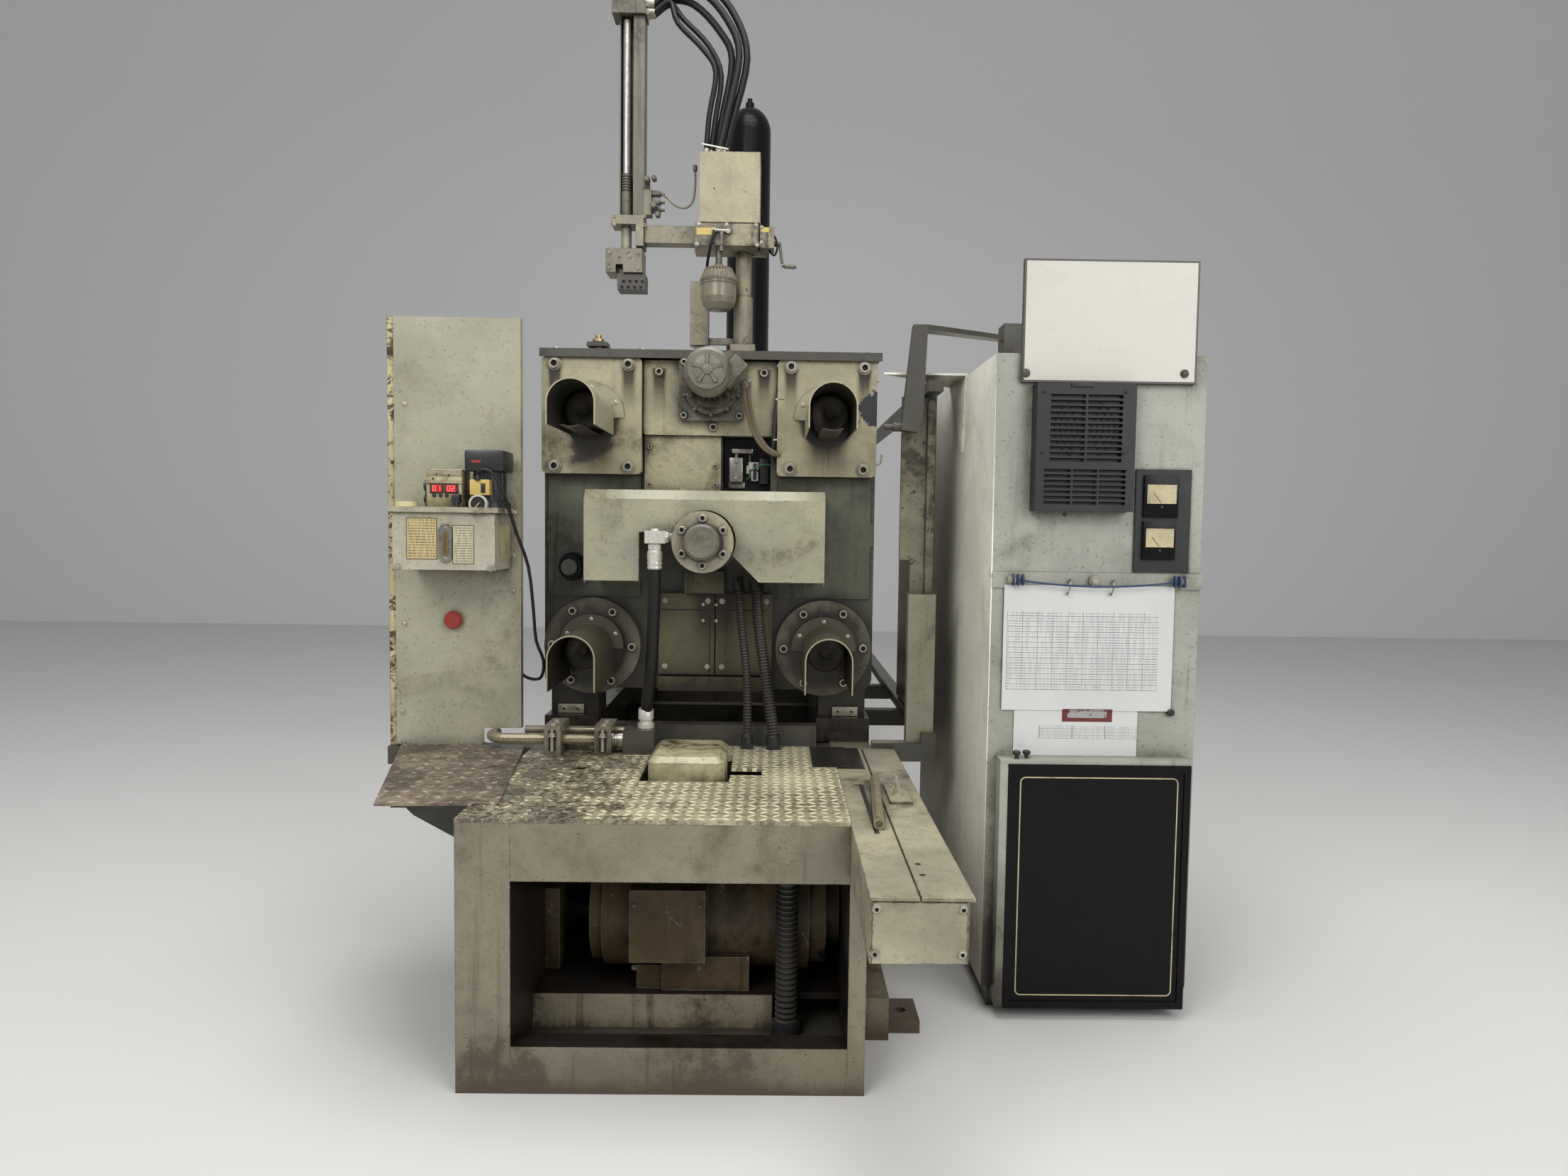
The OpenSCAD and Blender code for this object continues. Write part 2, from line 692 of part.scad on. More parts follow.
// Ribbed conduits from behind the cover down through the deck
module conduits() {
    start_z = axis_z - 130;
    color("black") {
        hose(concat(smooth_path([[86, -76, start_z], [100, -100, start_z - 130], [118, -150, 800],
            [122, -178, deck_top + 40]], 5), [[122, -178, deck_top + gap]]), 13, [0, 1, 0]);
        hose(concat(smooth_path([[140, -80, start_z], [150, -104, start_z - 130], [172, -152, 800],
            [196, -182, deck_top + 40]], 5), [[196, -182, deck_top + gap]]), 17, [0, 1, 0]);
        hose([for (z = [bed_h - gap, 470, 250, 45 + gap]) [conduit_at[0], conduit_at[1], z]],
            26, [0, 1, 0], 12);
    }
}

pipe_z = deck_top + 36;
pipe_y = -250;
block_top = pipe_z + 30;

// Steel pipes along the back of the deck with two saddle clamps and their end block
module feed_pipes() {
    color("goldenrod") {
        hose(smooth_path([[-592, -150, pipe_z - 4], [-588, -210, pipe_z], [-560, -246, pipe_z],
            [-500, pipe_y, pipe_z], [-215, pipe_y, pipe_z]], 5), 15, [0, 0, 1], 10);
        rod_x(pipe_y + 60, pipe_z + 14, -500, -180, 11);
        for (x = [-428, -291])
            difference() {
                block([x, pipe_y - 34, deck_top], [x + 46, pipe_y + 84, pipe_z + 42]);
                rod_x(pipe_y, pipe_z, x - 1, x + 47, 15 + gap);
                rod_x(pipe_y + 60, pipe_z + 14, x - 1, x + 47, 11 + gap);
            }
        block([-215, pipe_y - 26, deck_top], [-131, pipe_y + 74, block_top]);
    }
}

// Upright sheet panel at the left with its posts and the notch for the pipes
module side_panel() {
    color("darkkhaki") {
        difference() {
            block([panel_x[0], panel_y, deck_top + 4], [panel_x[1], panel_y + 25, panel_top]);
            block([panel_x[0] + 3, panel_y + 3, deck_top + 7], [panel_x[1] - 3, panel_y + 26, panel_top - 3]);
            block([panel_x[1] - 104, panel_y - 1, deck_top], [panel_x[1] + 1, panel_y + 26, deck_top + 52]);
        }
        block([panel_x[0] - 20, panel_y + 6, deck_top], [panel_x[0], panel_y + 36, panel_top]);
        block([panel_x[0] + 3.3, panel_y + 3 + gap, deck_top + 60], [panel_x[0] + 43, panel_y + 36, panel_top - 4]);
        translate([-697, panel_y + 3, 956]) rotate([90, 0, 0]) cylinder(h = 14, r = 23);
    }
}

// Lubricant tank on the panel with its rim lid
module lubricator_tank() {
    color("whitesmoke") {
        block([tank_x[0], panel_y - 169, tank_z[0]], [tank_x[1], panel_y, tank_z[1]]);
        block([tank_x[0] - 10, panel_y - 179, tank_z[1]], [tank_x[1] + 10, panel_y, tank_z[1] + 14]);
        translate([tank_x[0] + 20, panel_y - 120, tank_z[1] + 14]) cylinder(h = 14, r = 29);
    }
}

// Gear pump motor, gauge and timer on the tank's lid
module lubricator_pump() {
    z = tank_z[1] + 14;
    color("black") {
        translate([-598, panel_y - 80, z]) cylinder(h = 100, r = 44);
        translate([-598, panel_y - 80, z]) cylinder(h = 16, r = 58);
        block([-652, panel_y - 134, z + 100], [-544, panel_y - 26, z + 156]);
        rod_y(-598, z + 24.3, panel_y - 172, panel_y - 130, 24);
        block([-752, panel_y - 130, z], [-660, panel_y - 50, z + 112]);
    }
}

// Control cabinet on its plinth, with the ledge and gusset at its top left edge
module control_cabinet() {
    x1 = cab_x + cab_w;
    y1 = cab_y + cab_depth;
    rail_z = cab_h - 580;
    color("darkseagreen") {
        block([cab_x, cab_y, 60], [x1, y1, cab_h]);
        block([cab_x + 20, cab_y + 20, 0], [x1 - 20, y1 - 20, 60]);
        block([cab_x + 3, cab_y - 3, rail_z], [x1 + 6, cab_y, rail_z + 40]);
        translate([0, 0, cab_h]) linear_extrude(6)
            polygon([[half_bed + 17, -112], [cab_x + 30, -112], [cab_x + 30, 150], [cab_x - 2, 150],
                [half_bed + 92, -40]]);
        translate([cab_x, 0, 0]) rotate([90, 0, -90]) linear_extrude(6)
            polygon([[112, cab_h], [76, cab_h - 214], [-150, cab_h]]);
    }
}

// Flat arm that reaches from the cabinet's top towards the link housing, with its end bracket
module cabinet_arm() {
    arm_top = cab_h + 133;
    color("dimgray") {
        block([cab_x + 122, -20, cab_h], [cab_x + 180, 60, arm_top + 34]);
        translate([0, 0, arm_top - 14]) linear_extrude(14)
            polygon([[half_bed + 93, -156], [half_bed + 133, -156], [cab_x + 126, -18], [cab_x + 126, 22],
                [half_bed + 93, -116]]);
        face_plate(-116, 40)
            polygon([[half_bed + 93, arm_top], [half_bed + 133, arm_top], [half_bed + 124, arm_top - 255],
                [half_bed + 111, arm_top - 299], [half_bed + 64, arm_top - 292]]);
        rod_x(-136, arm_top - 283, half_bed + 15, half_bed + 90, 8);
        rod_x(-136, arm_top - 283, half_bed + 42, half_bed + 90, 13);
    }
}

// Louvred cooler and meter window on the cabinet's face
module cabinet_cooler() {
    low = cab_h - 388;
    color("darkslategray")
        difference() {
            block([cab_x + 91, cab_y - 50, low], [cab_x + 333, cab_y, low + 310]);
            for (i = [0 : 11])
                block([cab_x + 124, cab_y - 51, low + 120 + i * 14],
                      [cab_x + 300, cab_y - 36, low + 129 + i * 14]);
            for (i = [0 : 6])
                block([cab_x + 112, cab_y - 51, low + 16 + i * 13],
                      [cab_x + 312, cab_y - 36, low + 24 + i * 13]);
        }
    color("darkslategray")
        block([cab_x + 354, cab_y - 6, low - 148], [cab_x + 492, cab_y, low + 107]);
}

// Box with the dark breaker panel
module breaker_box() {
    color("black")
        difference() {
            block([cab_x + 44, cab_y - 58, 30], [cab_x + 497, cab_y, cab_h - 1014]);
            block([cab_x + 60, cab_y - 59, 48], [cab_x + 481, cab_y - 54, cab_h - 1032]);
        }
}

// Blank sign on the cabinet's top edge
module sign_board() {
    color("white")
        block([cab_x + 60, cab_y - 16, cab_h - 72], [cab_x + 490, cab_y, cab_h + 226]);
}

// Two laminated sheets that hang from the bar on the cabinet
module notice_sheets() {
    color("white") {
        block([cab_x + 33, cab_y - 6, cab_h - 887], [cab_x + 460, cab_y - 3, cab_h - 572]);
        block([cab_x + 66, cab_y - 3, cab_h - 1010], [cab_x + 378, cab_y, cab_h - 862]);
    }
}

// Top and bottom track for the guard door, with their posts and the channel at its front end
module door_track() {
    track_y = [deck_end, fixed_end + 60];
    low = bed_h + 20;
    high = housing_top - 75;
    color("dimgray") {
        block([door_x - 21, track_y[0], high - 30], [door_x + 21, track_y[1], high]);
        block([door_x - 21, track_y[0], low], [door_x + 21, track_y[1], low + 30]);
        for (y = [track_y[0], track_y[0] + track_y[1] / 2, track_y[1] - 50])
            block([half_bed, y, bed_h - 32], [door_x + 21, y + 50, low]);
        for (y = [530 + deck_end, track_y[1] - 50])
            block([door_x + 21, y, bed_h - 32], [door_x + 46, y + 50, high]);
        block([half_bed, 530 + deck_end, bed_h - 32], [cab_x, 580 + deck_end, low]);
        difference() {
            block([door_x - 63, -134, bed_h - 32], [door_x + 15, -94, bed_h + 447]);
            block([door_x - 58, -129, low], [door_x + 10, -93, bed_h + 448]);
        }
    }
}

// Sliding guard door on the operator's side
module guard_door() {
    y0 = -80;
    low = bed_h + 58;
    high = housing_top - 113;
    color("gray") {
        block([door_x - 14, y0, low], [door_x + 14, y0 + door_len, high]);
        block([door_x - 55, y0, low], [door_x - 14, y0 + 10, axis_z - 70]);
        block([door_x - 86, y0, axis_z - 70], [door_x - 14, y0 + 10, high]);
        face_plate(y0, 6) {
            translate([door_x, low + 60]) circle(12);
            translate([door_x - 12, low + 60]) square([24, high - low - 80]);
            translate([door_x, high - 20]) circle(12);
        }
        for (y = [y0 + 20, y0 + door_len - 100])
            block([door_x - 10, y, bed_h + 50 + gap], [door_x + 10, y + 80, low]);
    }
}

// Pipe column of the sprayer on the fixed platen
module sprayer_column() {
    platen_top = axis_z + platen_w / 2;
    collar_z = arm_z - 284;
    color("dimgray") {
        translate([column_x, pivot_y, platen_top]) linear_extrude(60) rounded_rect(220, 180, 20);
        translate([column_x - 60, pivot_y - 60, platen_top + 60]) cube([120, 120, collar_z - platen_top - 290]);
        translate([column_x, pivot_y, collar_z - 240]) cylinder(h = 240, r = 46);
        translate([column_x, pivot_y, collar_z]) cylinder(h = arm_z - 76 - collar_z, r = 38);
        block([column_x - 256, pivot_y - 10, collar_z - 230], [column_x - 167, pivot_y + 60, collar_z + 72]);
        block([column_x - 236, pivot_y + 5, collar_z - 300], [column_x - 187, pivot_y + 45, collar_z - 230]);
        block([column_x - 170, pivot_y + 10, collar_z - 222], [column_x, pivot_y + 40, collar_z - 192]);
    }
}

pivot_y = column_y - 90;

// Swinging arm with the vertical guide at its end
module sprayer_arm() {
    plate_z = arm_z + 41;
    guide_x = [head_x - 31, head_x + 90];
    color("gray") {
        block([column_x - 233, pivot_y - 60, arm_z - 76 + gap], [column_x + 110, pivot_y + 60, arm_z + 30]);
        block([column_x - 226, pivot_y - 150, arm_z - 76], [column_x + 73, pivot_y - 60, arm_z + 26]);
        block([column_x + 79, pivot_y - 150, arm_z - 85], [column_x + 146, pivot_y - 60, arm_z + 12]);
        block([column_x + 60, pivot_y - 100, arm_z - 60], [column_x + 100, pivot_y - 50, arm_z]);
        block([guide_x[1], pivot_y - 40, arm_z - 40], [column_x - 233, pivot_y + 40, plate_z]);
        difference() {
            union() {
                block([head_x - 65, pivot_y - 60, plate_z], [guide_x[1], pivot_y + 60, plate_z + 43]);
                translate([head_x, pivot_y, plate_z + 43]) cylinder(h = 115, r = rod_d / 2 + 9);
                for (k = [0 : 6])
                    translate([head_x, pivot_y, plate_z + 158 + 13 * k]) {
                        cylinder(h = 7, r = rod_d / 2 + 9);
                        translate([0, 0, 7]) cylinder(h = 6, r = rod_d / 2 + 5);
                    }
            }
            translate([head_x, pivot_y, plate_z - 1]) cylinder(h = 300, r = rod_d / 2 + 0.05);
        }
        block([head_x + 52, pivot_y - 60, arm_z - 60], [guide_x[1], pivot_y + 60, plate_z]);
        block([guide_x[0], pivot_y + 32, plate_z + 43], [guide_x[1], pivot_y + 50, plate_z + 43 + guide_h]);
        block([guide_x[0], pivot_y - 20, plate_z + 43], [guide_x[0] + 6, pivot_y + 32, plate_z + 43 + guide_h]);
        block([head_x + 36, pivot_y - 40, plate_z + 43], [guide_x[1], pivot_y + 32, plate_z + 43 + guide_h]);
        block([head_x - 64, pivot_y - 60, plate_z + 43 + guide_h],
              [guide_x[1] + 6, pivot_y + 60, plate_z + 113 + guide_h]);
        block([guide_x[1], pivot_y - 40, plate_z + 50], [guide_x[1] + 34, pivot_y + 20, plate_z + 170]);
        translate([column_x - 114, pivot_y - 110, arm_z - 373])
            rotate_extrude() polygon([[0, 0], [54, 6], [76, 32], [84, 60], [84, 140], [74, 180], [36, 208],
                [16, 220], [16, 297], [0, 297]]);
    }
}

// Valve box on the arm's hub
module sprayer_box() {
    color("khaki")
        block([column_x - 206, pivot_y - 150, arm_z + 30], [column_x + 78, pivot_y + 50, arm_z + 353]);
}

// Hose bundle from the valve box over to the top of the guide
module sprayer_hoses() {
    x0 = column_x - 180;
    side_x = head_x + 96 + gap;
    color("black")
        for (k = [0 : 4]) {
            z0 = arm_z + 353 + gap;
            y = pivot_y - 70 + 28 * (k % 3);
            inner = k < 2;
            out = inner ? -110 + 24 * k : -36 + 36 * (k - 2);
            top = inner ? arm_z + 970 + 30 * k : arm_z + 1080 + 30 * (k - 2);
            end_z = arm_z + (inner ? 1030 : 1064);
            end_y = pivot_y + [-40, -4, 22, -50, -14][k];
            hose(concat([[x0 + 20 * k, y, z0]],
                smooth_path([[x0 + 20 * k, y, z0 + 30], [x0 + 12 + 28 * k, y, z0 + 190],
                    [out, y, z0 + (inner ? 390 : 470)], [out - 60, y + 4, top - 120], [out - 180, y + 6, top],
                    [side_x + 110, end_y, end_z + 50], [side_x + 34, end_y, end_z]], 4),
                [[side_x, end_y, end_z]]), inner ? 13 : 17, [0, 1, 0]);
        }
}

// Spray rod and nozzle block, which run down together
module spray_head() {
    color("khaki") {
        translate([head_x, pivot_y, arm_z - 75]) cylinder(h = guide_h + 150, r = rod_d / 2);
        translate([head_x, pivot_y, arm_z - 75]) cylinder(h = 111, r = rod_d / 2 + 7);
        difference() {
            block([head_x - 88, pivot_y - 70, arm_z - 187], [head_x + 85, pivot_y + 70, arm_z - 75]);
            block([head_x - 40, pivot_y - 71, arm_z - 188], [head_x - 6, pivot_y - 20, arm_z - 150]);
        }
        block([head_x - 36, pivot_y - 50, arm_z - 262], [head_x + 97, pivot_y + 60, arm_z - 187]);
    }
}

bed_left_beam();
bed_right_beam();
front_header();
front_sill();
bed_cross_members();
slide_rails();
deck_plate();
side_deck();
side_stand();
deck_cap();
cable_trough();
pump_motor();
motor_bracket();
hydraulic_pump();
link_housing();
housing_lid();
upper_nut_housings();
lower_nut_flanges();
center_plate();
inspection_cover();
guard_upper_left();
guard_upper_right();
guard_lower_left();
guard_lower_right();
tie_bar_upper_left();
tie_bar_upper_right();
tie_bar_lower_left();
tie_bar_lower_right();
clamp_cylinder();
cylinder_cover();
adjust_motor();
toggle_links();
moving_platen();
fixed_platen();
shot_frame();
shot_cylinder();
gas_bottle();
main_hose();
conduits();
feed_pipes();
side_panel();
lubricator_tank();
lubricator_pump();
control_cabinet();
cabinet_arm();
cabinet_cooler();
breaker_box();
sign_board();
notice_sheets();
door_track();
guard_door();
sprayer_column();
sprayer_arm();
sprayer_box();
sprayer_hoses();
spray_head();
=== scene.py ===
"""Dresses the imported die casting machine: materials, fasteners, hoses, fittings, camera and light."""
import math

import bmesh
import bpy
from mathutils import Matrix, Vector


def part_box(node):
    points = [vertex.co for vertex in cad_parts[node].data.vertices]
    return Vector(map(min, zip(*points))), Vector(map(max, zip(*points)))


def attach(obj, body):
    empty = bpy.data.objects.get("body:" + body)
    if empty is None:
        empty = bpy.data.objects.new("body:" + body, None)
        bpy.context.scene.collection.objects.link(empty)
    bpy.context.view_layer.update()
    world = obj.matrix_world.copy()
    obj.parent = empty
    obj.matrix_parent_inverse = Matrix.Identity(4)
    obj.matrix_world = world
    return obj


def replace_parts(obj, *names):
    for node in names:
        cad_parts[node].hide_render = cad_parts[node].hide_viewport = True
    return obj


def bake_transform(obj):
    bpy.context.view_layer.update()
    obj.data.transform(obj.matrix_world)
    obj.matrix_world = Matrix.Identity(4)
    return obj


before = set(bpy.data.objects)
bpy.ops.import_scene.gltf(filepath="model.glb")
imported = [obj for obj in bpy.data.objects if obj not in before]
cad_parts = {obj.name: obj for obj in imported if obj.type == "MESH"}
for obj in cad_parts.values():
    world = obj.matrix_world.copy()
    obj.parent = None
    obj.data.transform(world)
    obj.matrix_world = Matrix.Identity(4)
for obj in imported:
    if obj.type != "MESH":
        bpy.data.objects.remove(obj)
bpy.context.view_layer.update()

# Camera, from the photograph: place in metres, angles in degrees, focal length in pixels
CAMERA_AT = Vector((0.188, -3.012, 1.225))
CAMERA_YAW, CAMERA_PITCH, CAMERA_ROLL = -0.656, -3.427, 0.781
FOCAL_PX = 1428.5
PHOTO_WIDTH_PX = 2212


def camera_axes():
    """Right, up and forward of the camera in the row frame."""
    yaw, pitch, roll = (math.radians(a) for a in (CAMERA_YAW, CAMERA_PITCH, CAMERA_ROLL))
    right = Vector((math.cos(yaw), math.sin(yaw), 0))
    ahead = Vector((-math.sin(yaw), math.cos(yaw), 0))
    forward = math.cos(pitch) * ahead + math.sin(pitch) * Vector((0, 0, 1))
    up = -math.sin(pitch) * ahead + math.cos(pitch) * Vector((0, 0, 1))
    tilted_right = math.cos(roll) * right + math.sin(roll) * up
    tilted_up = math.cos(roll) * up - math.sin(roll) * right
    return tilted_right, tilted_up, forward


def make_camera():
    right, up, forward = camera_axes()
    data = bpy.data.cameras.new("camera")
    data.sensor_width = 36.0
    data.lens = 36.0 * FOCAL_PX / PHOTO_WIDTH_PX
    data.clip_end = 60
    camera = bpy.data.objects.new("camera", data)
    rotation = Matrix((right, up, -forward)).transposed().to_4x4()
    camera.matrix_world = Matrix.Translation(CAMERA_AT) @ rotation
    bpy.context.collection.objects.link(camera)
    bpy.context.scene.camera = camera


make_camera()


# Shader building

class Shader:
    """A material's node tree, with short calls for the nodes used here. add, sub and mul stay between 0
    and 1, math has no limit."""

    def __init__(self, name):
        self.material = bpy.data.materials.new(name)
        self.material.use_nodes = True
        self.tree = self.material.node_tree
        self.bsdf = self.tree.nodes["Principled BSDF"]
        self.coords = self.node("TexCoord").outputs["Object"]
        self.xyz = self.node("SeparateXYZ", Vector=self.coords).outputs

    def fill(self, socket, value):
        """Links an output to the socket or sets its value; a colour gets its alpha."""
        if isinstance(value, bpy.types.NodeSocket):
            self.tree.links.new(value, socket)
        else:
            socket.default_value = (*value, 1) if socket.type == "RGBA" else value

    def node(self, kind, **sockets):
        made = self.tree.nodes.new("ShaderNode" + kind)
        for name, value in sockets.items():
            self.fill(made.inputs[name.replace("_", " ")], value)
        return made

    def place(self, scale):
        return self.node("Mapping", Scale=scale, Vector=self.coords).outputs[0]

    def noise(self, scale, detail=6, rough=0.6, stretch=(1, 1, 1), warp=0.0):
        return self.node("TexNoise", Scale=scale, Detail=detail, Roughness=rough, Distortion=warp,
            Vector=self.place(stretch)).outputs["Fac"]

    def ramp(self, value, low, high, a=0.0, b=1.0):
        """Goes smoothly from a where value is low to b where it is high."""
        made = self.node("MapRange", Value=value, From_Min=low, From_Max=high, To_Min=a, To_Max=b)
        made.interpolation_type = "SMOOTHSTEP"
        return made.outputs[0]

    def math(self, kind, a, b=None, clamp=False):
        made = self.node("Math")
        made.operation = kind
        made.use_clamp = clamp
        self.fill(made.inputs[0], a)
        if b is not None:
            self.fill(made.inputs[1], b)
        return made.outputs[0]

    def add(self, a, b):
        return self.math("ADD", a, b, True)

    def sub(self, a, b):
        return self.math("SUBTRACT", a, b, True)

    def mul(self, a, b):
        return self.math("MULTIPLY", a, b, True)

    def most(self, a, b):
        return self.math("MAXIMUM", a, b)

    def vector_math(self, kind, a, b):
        made = self.node("VectorMath")
        made.operation = kind
        self.fill(made.inputs[0], a)
        self.fill(made.inputs[1], b)
        return made.outputs["Value"]

    def mix(self, factor, a, b):
        made = self.node("Mix")
        made.data_type = "RGBA"
        for index, value in ((0, factor), (6, a), (7, b)):
            self.fill(made.inputs[index], value)
        return made.outputs[2]

    def edges(self, radius):
        """1 along outer edges, 0 on flat areas."""
        bevel = self.node("Bevel", Radius=radius)
        bevel.samples = 4
        normal = self.node("NewGeometry").outputs["Normal"]
        return self.ramp(self.vector_math("DOT_PRODUCT", bevel.outputs[0], normal), 0.995, 0.9)

    def crevice(self, reach):
        """1 in corners and gaps found by ambient occlusion, 0 on open faces; darkening by it is painted
        shade.
        """
        made = self.node("AmbientOcclusion", Distance=reach)
        made.samples = 6
        return self.ramp(made.outputs["AO"], 0.92, 0.5)

    def along(self, axis, low, high, a=0.0, b=1.0):
        """Goes from a at low to b at high along X, Y or Z."""
        return self.ramp(self.xyz[axis], low, high, a, b)

    def near(self, points, inner, outer):
        """1 close to any of the (x, z) points, seen along Y, fading out from inner to outer."""
        flat = self.place((1, 0, 1))
        mask = 0.0
        for x, z in points:
            away = self.vector_math("DISTANCE", flat, (x, 0, z))
            mask = self.most(mask, self.ramp(away, inner, outer, 1.0, 0.0))
        return mask

    def hanging(self, points, half, length):
        """1 just under each (x, z) point, fading out to the sides and down over the length."""
        mask = 0.0
        for x, z in points:
            aside = self.math("ABSOLUTE", self.math("SUBTRACT", self.xyz["X"], x))
            inside = self.ramp(aside, half * 0.35, half, 1.0, 0.0)
            below = self.mul(self.along("Z", z - length, z), self.math("LESS_THAN", self.xyz["Z"], z))
            mask = self.most(mask, self.mul(inside, below))
        return mask

    def under_hood(self, centres, inner, outer):
        """1 inside the arches round the (x, z) centres and between their straight walls below."""
        mask = 0.0
        for x, z in centres:
            dx = self.math("SUBTRACT", self.xyz["X"], x)
            dz = self.most(self.math("SUBTRACT", self.xyz["Z"], z), 0.0)
            square = self.math("ADD", self.math("MULTIPLY", dx, dx), self.math("MULTIPLY", dz, dz))
            mask = self.most(mask, self.ramp(self.math("SQRT", square), inner, outer, 1.0, 0.0))
        return mask

    def stripes(self, axis, pitch, share, start=0.0):
        """1 on stripes that repeat along an axis from start."""
        steps = self.math("MULTIPLY", self.math("SUBTRACT", self.xyz[axis], start), 1 / pitch)
        return self.math("LESS_THAN", self.math("FRACT", steps), share)

    def window(self, x0, x1, z0, z1):
        """1 inside a rectangle seen along Y."""
        inside = 1.0
        for axis, low, high in (("X", x0, x1), ("Z", z0, z1)):
            inside = self.mul(inside, self.math("GREATER_THAN", self.xyz[axis], low))
            inside = self.mul(inside, self.math("LESS_THAN", self.xyz[axis], high))
        return inside

    def rows_of_print(self, pitch, start, grain):
        """Broken grey rows that stand for small print."""
        words = self.ramp(self.noise(grain, 2, 0.5, (1, 1, 0.08)), 0.44, 0.5)
        return self.mul(self.stripes("Z", pitch, 0.36, start), words)

    def lens_plate(self, pitch, length, width):
        """1 on the lens-shaped studs of a tread plate, which lie in turn along two diagonals."""
        cells = self.node("SeparateXYZ", Vector=self.place((1 / pitch, 1 / pitch, 1))).outputs
        x, y = cells["X"], cells["Y"]
        turn = self.math("PINGPONG", self.math("ADD", self.math("FLOOR", x), self.math("FLOOR", y)), 1.0)
        side = self.math("SUBTRACT", self.math("MULTIPLY", turn, 2.0), 1.0)
        u = self.math("SUBTRACT", self.math("FRACT", x), 0.5)
        v = self.math("MULTIPLY", self.math("SUBTRACT", self.math("FRACT", y), 0.5), side)
        along = self.math("MULTIPLY", self.math("ADD", u, v), math.sqrt(2) * pitch / length)
        across = self.math("MULTIPLY", self.math("SUBTRACT", u, v), math.sqrt(2) * pitch / width)
        bulge = self.math("ADD", self.math("POWER", self.math("ABSOLUTE", along), 2.0),
            self.math("ABSOLUTE", across))
        return self.ramp(bulge, 0.75, 1.1, 1.0, 0.0)

    def bump(self, height, strength, distance):
        made = self.node("Bump", Strength=strength, Distance=distance, Height=height)
        normal = self.bsdf.inputs["Normal"]
        if normal.is_linked:
            self.fill(made.inputs["Normal"], normal.links[0].from_socket)
        self.fill(normal, made.outputs[0])

    def finish(self, colour, rough, metallic=0.0, specular=0.5):
        for name, value in (("Base Color", colour), ("Roughness", rough), ("Metallic", metallic),
                ("Specular IOR Level", specular)):
            self.fill(self.bsdf.inputs[name], value)
        return self.material


def shade(colour, factor):
    return tuple(c * factor for c in colour)


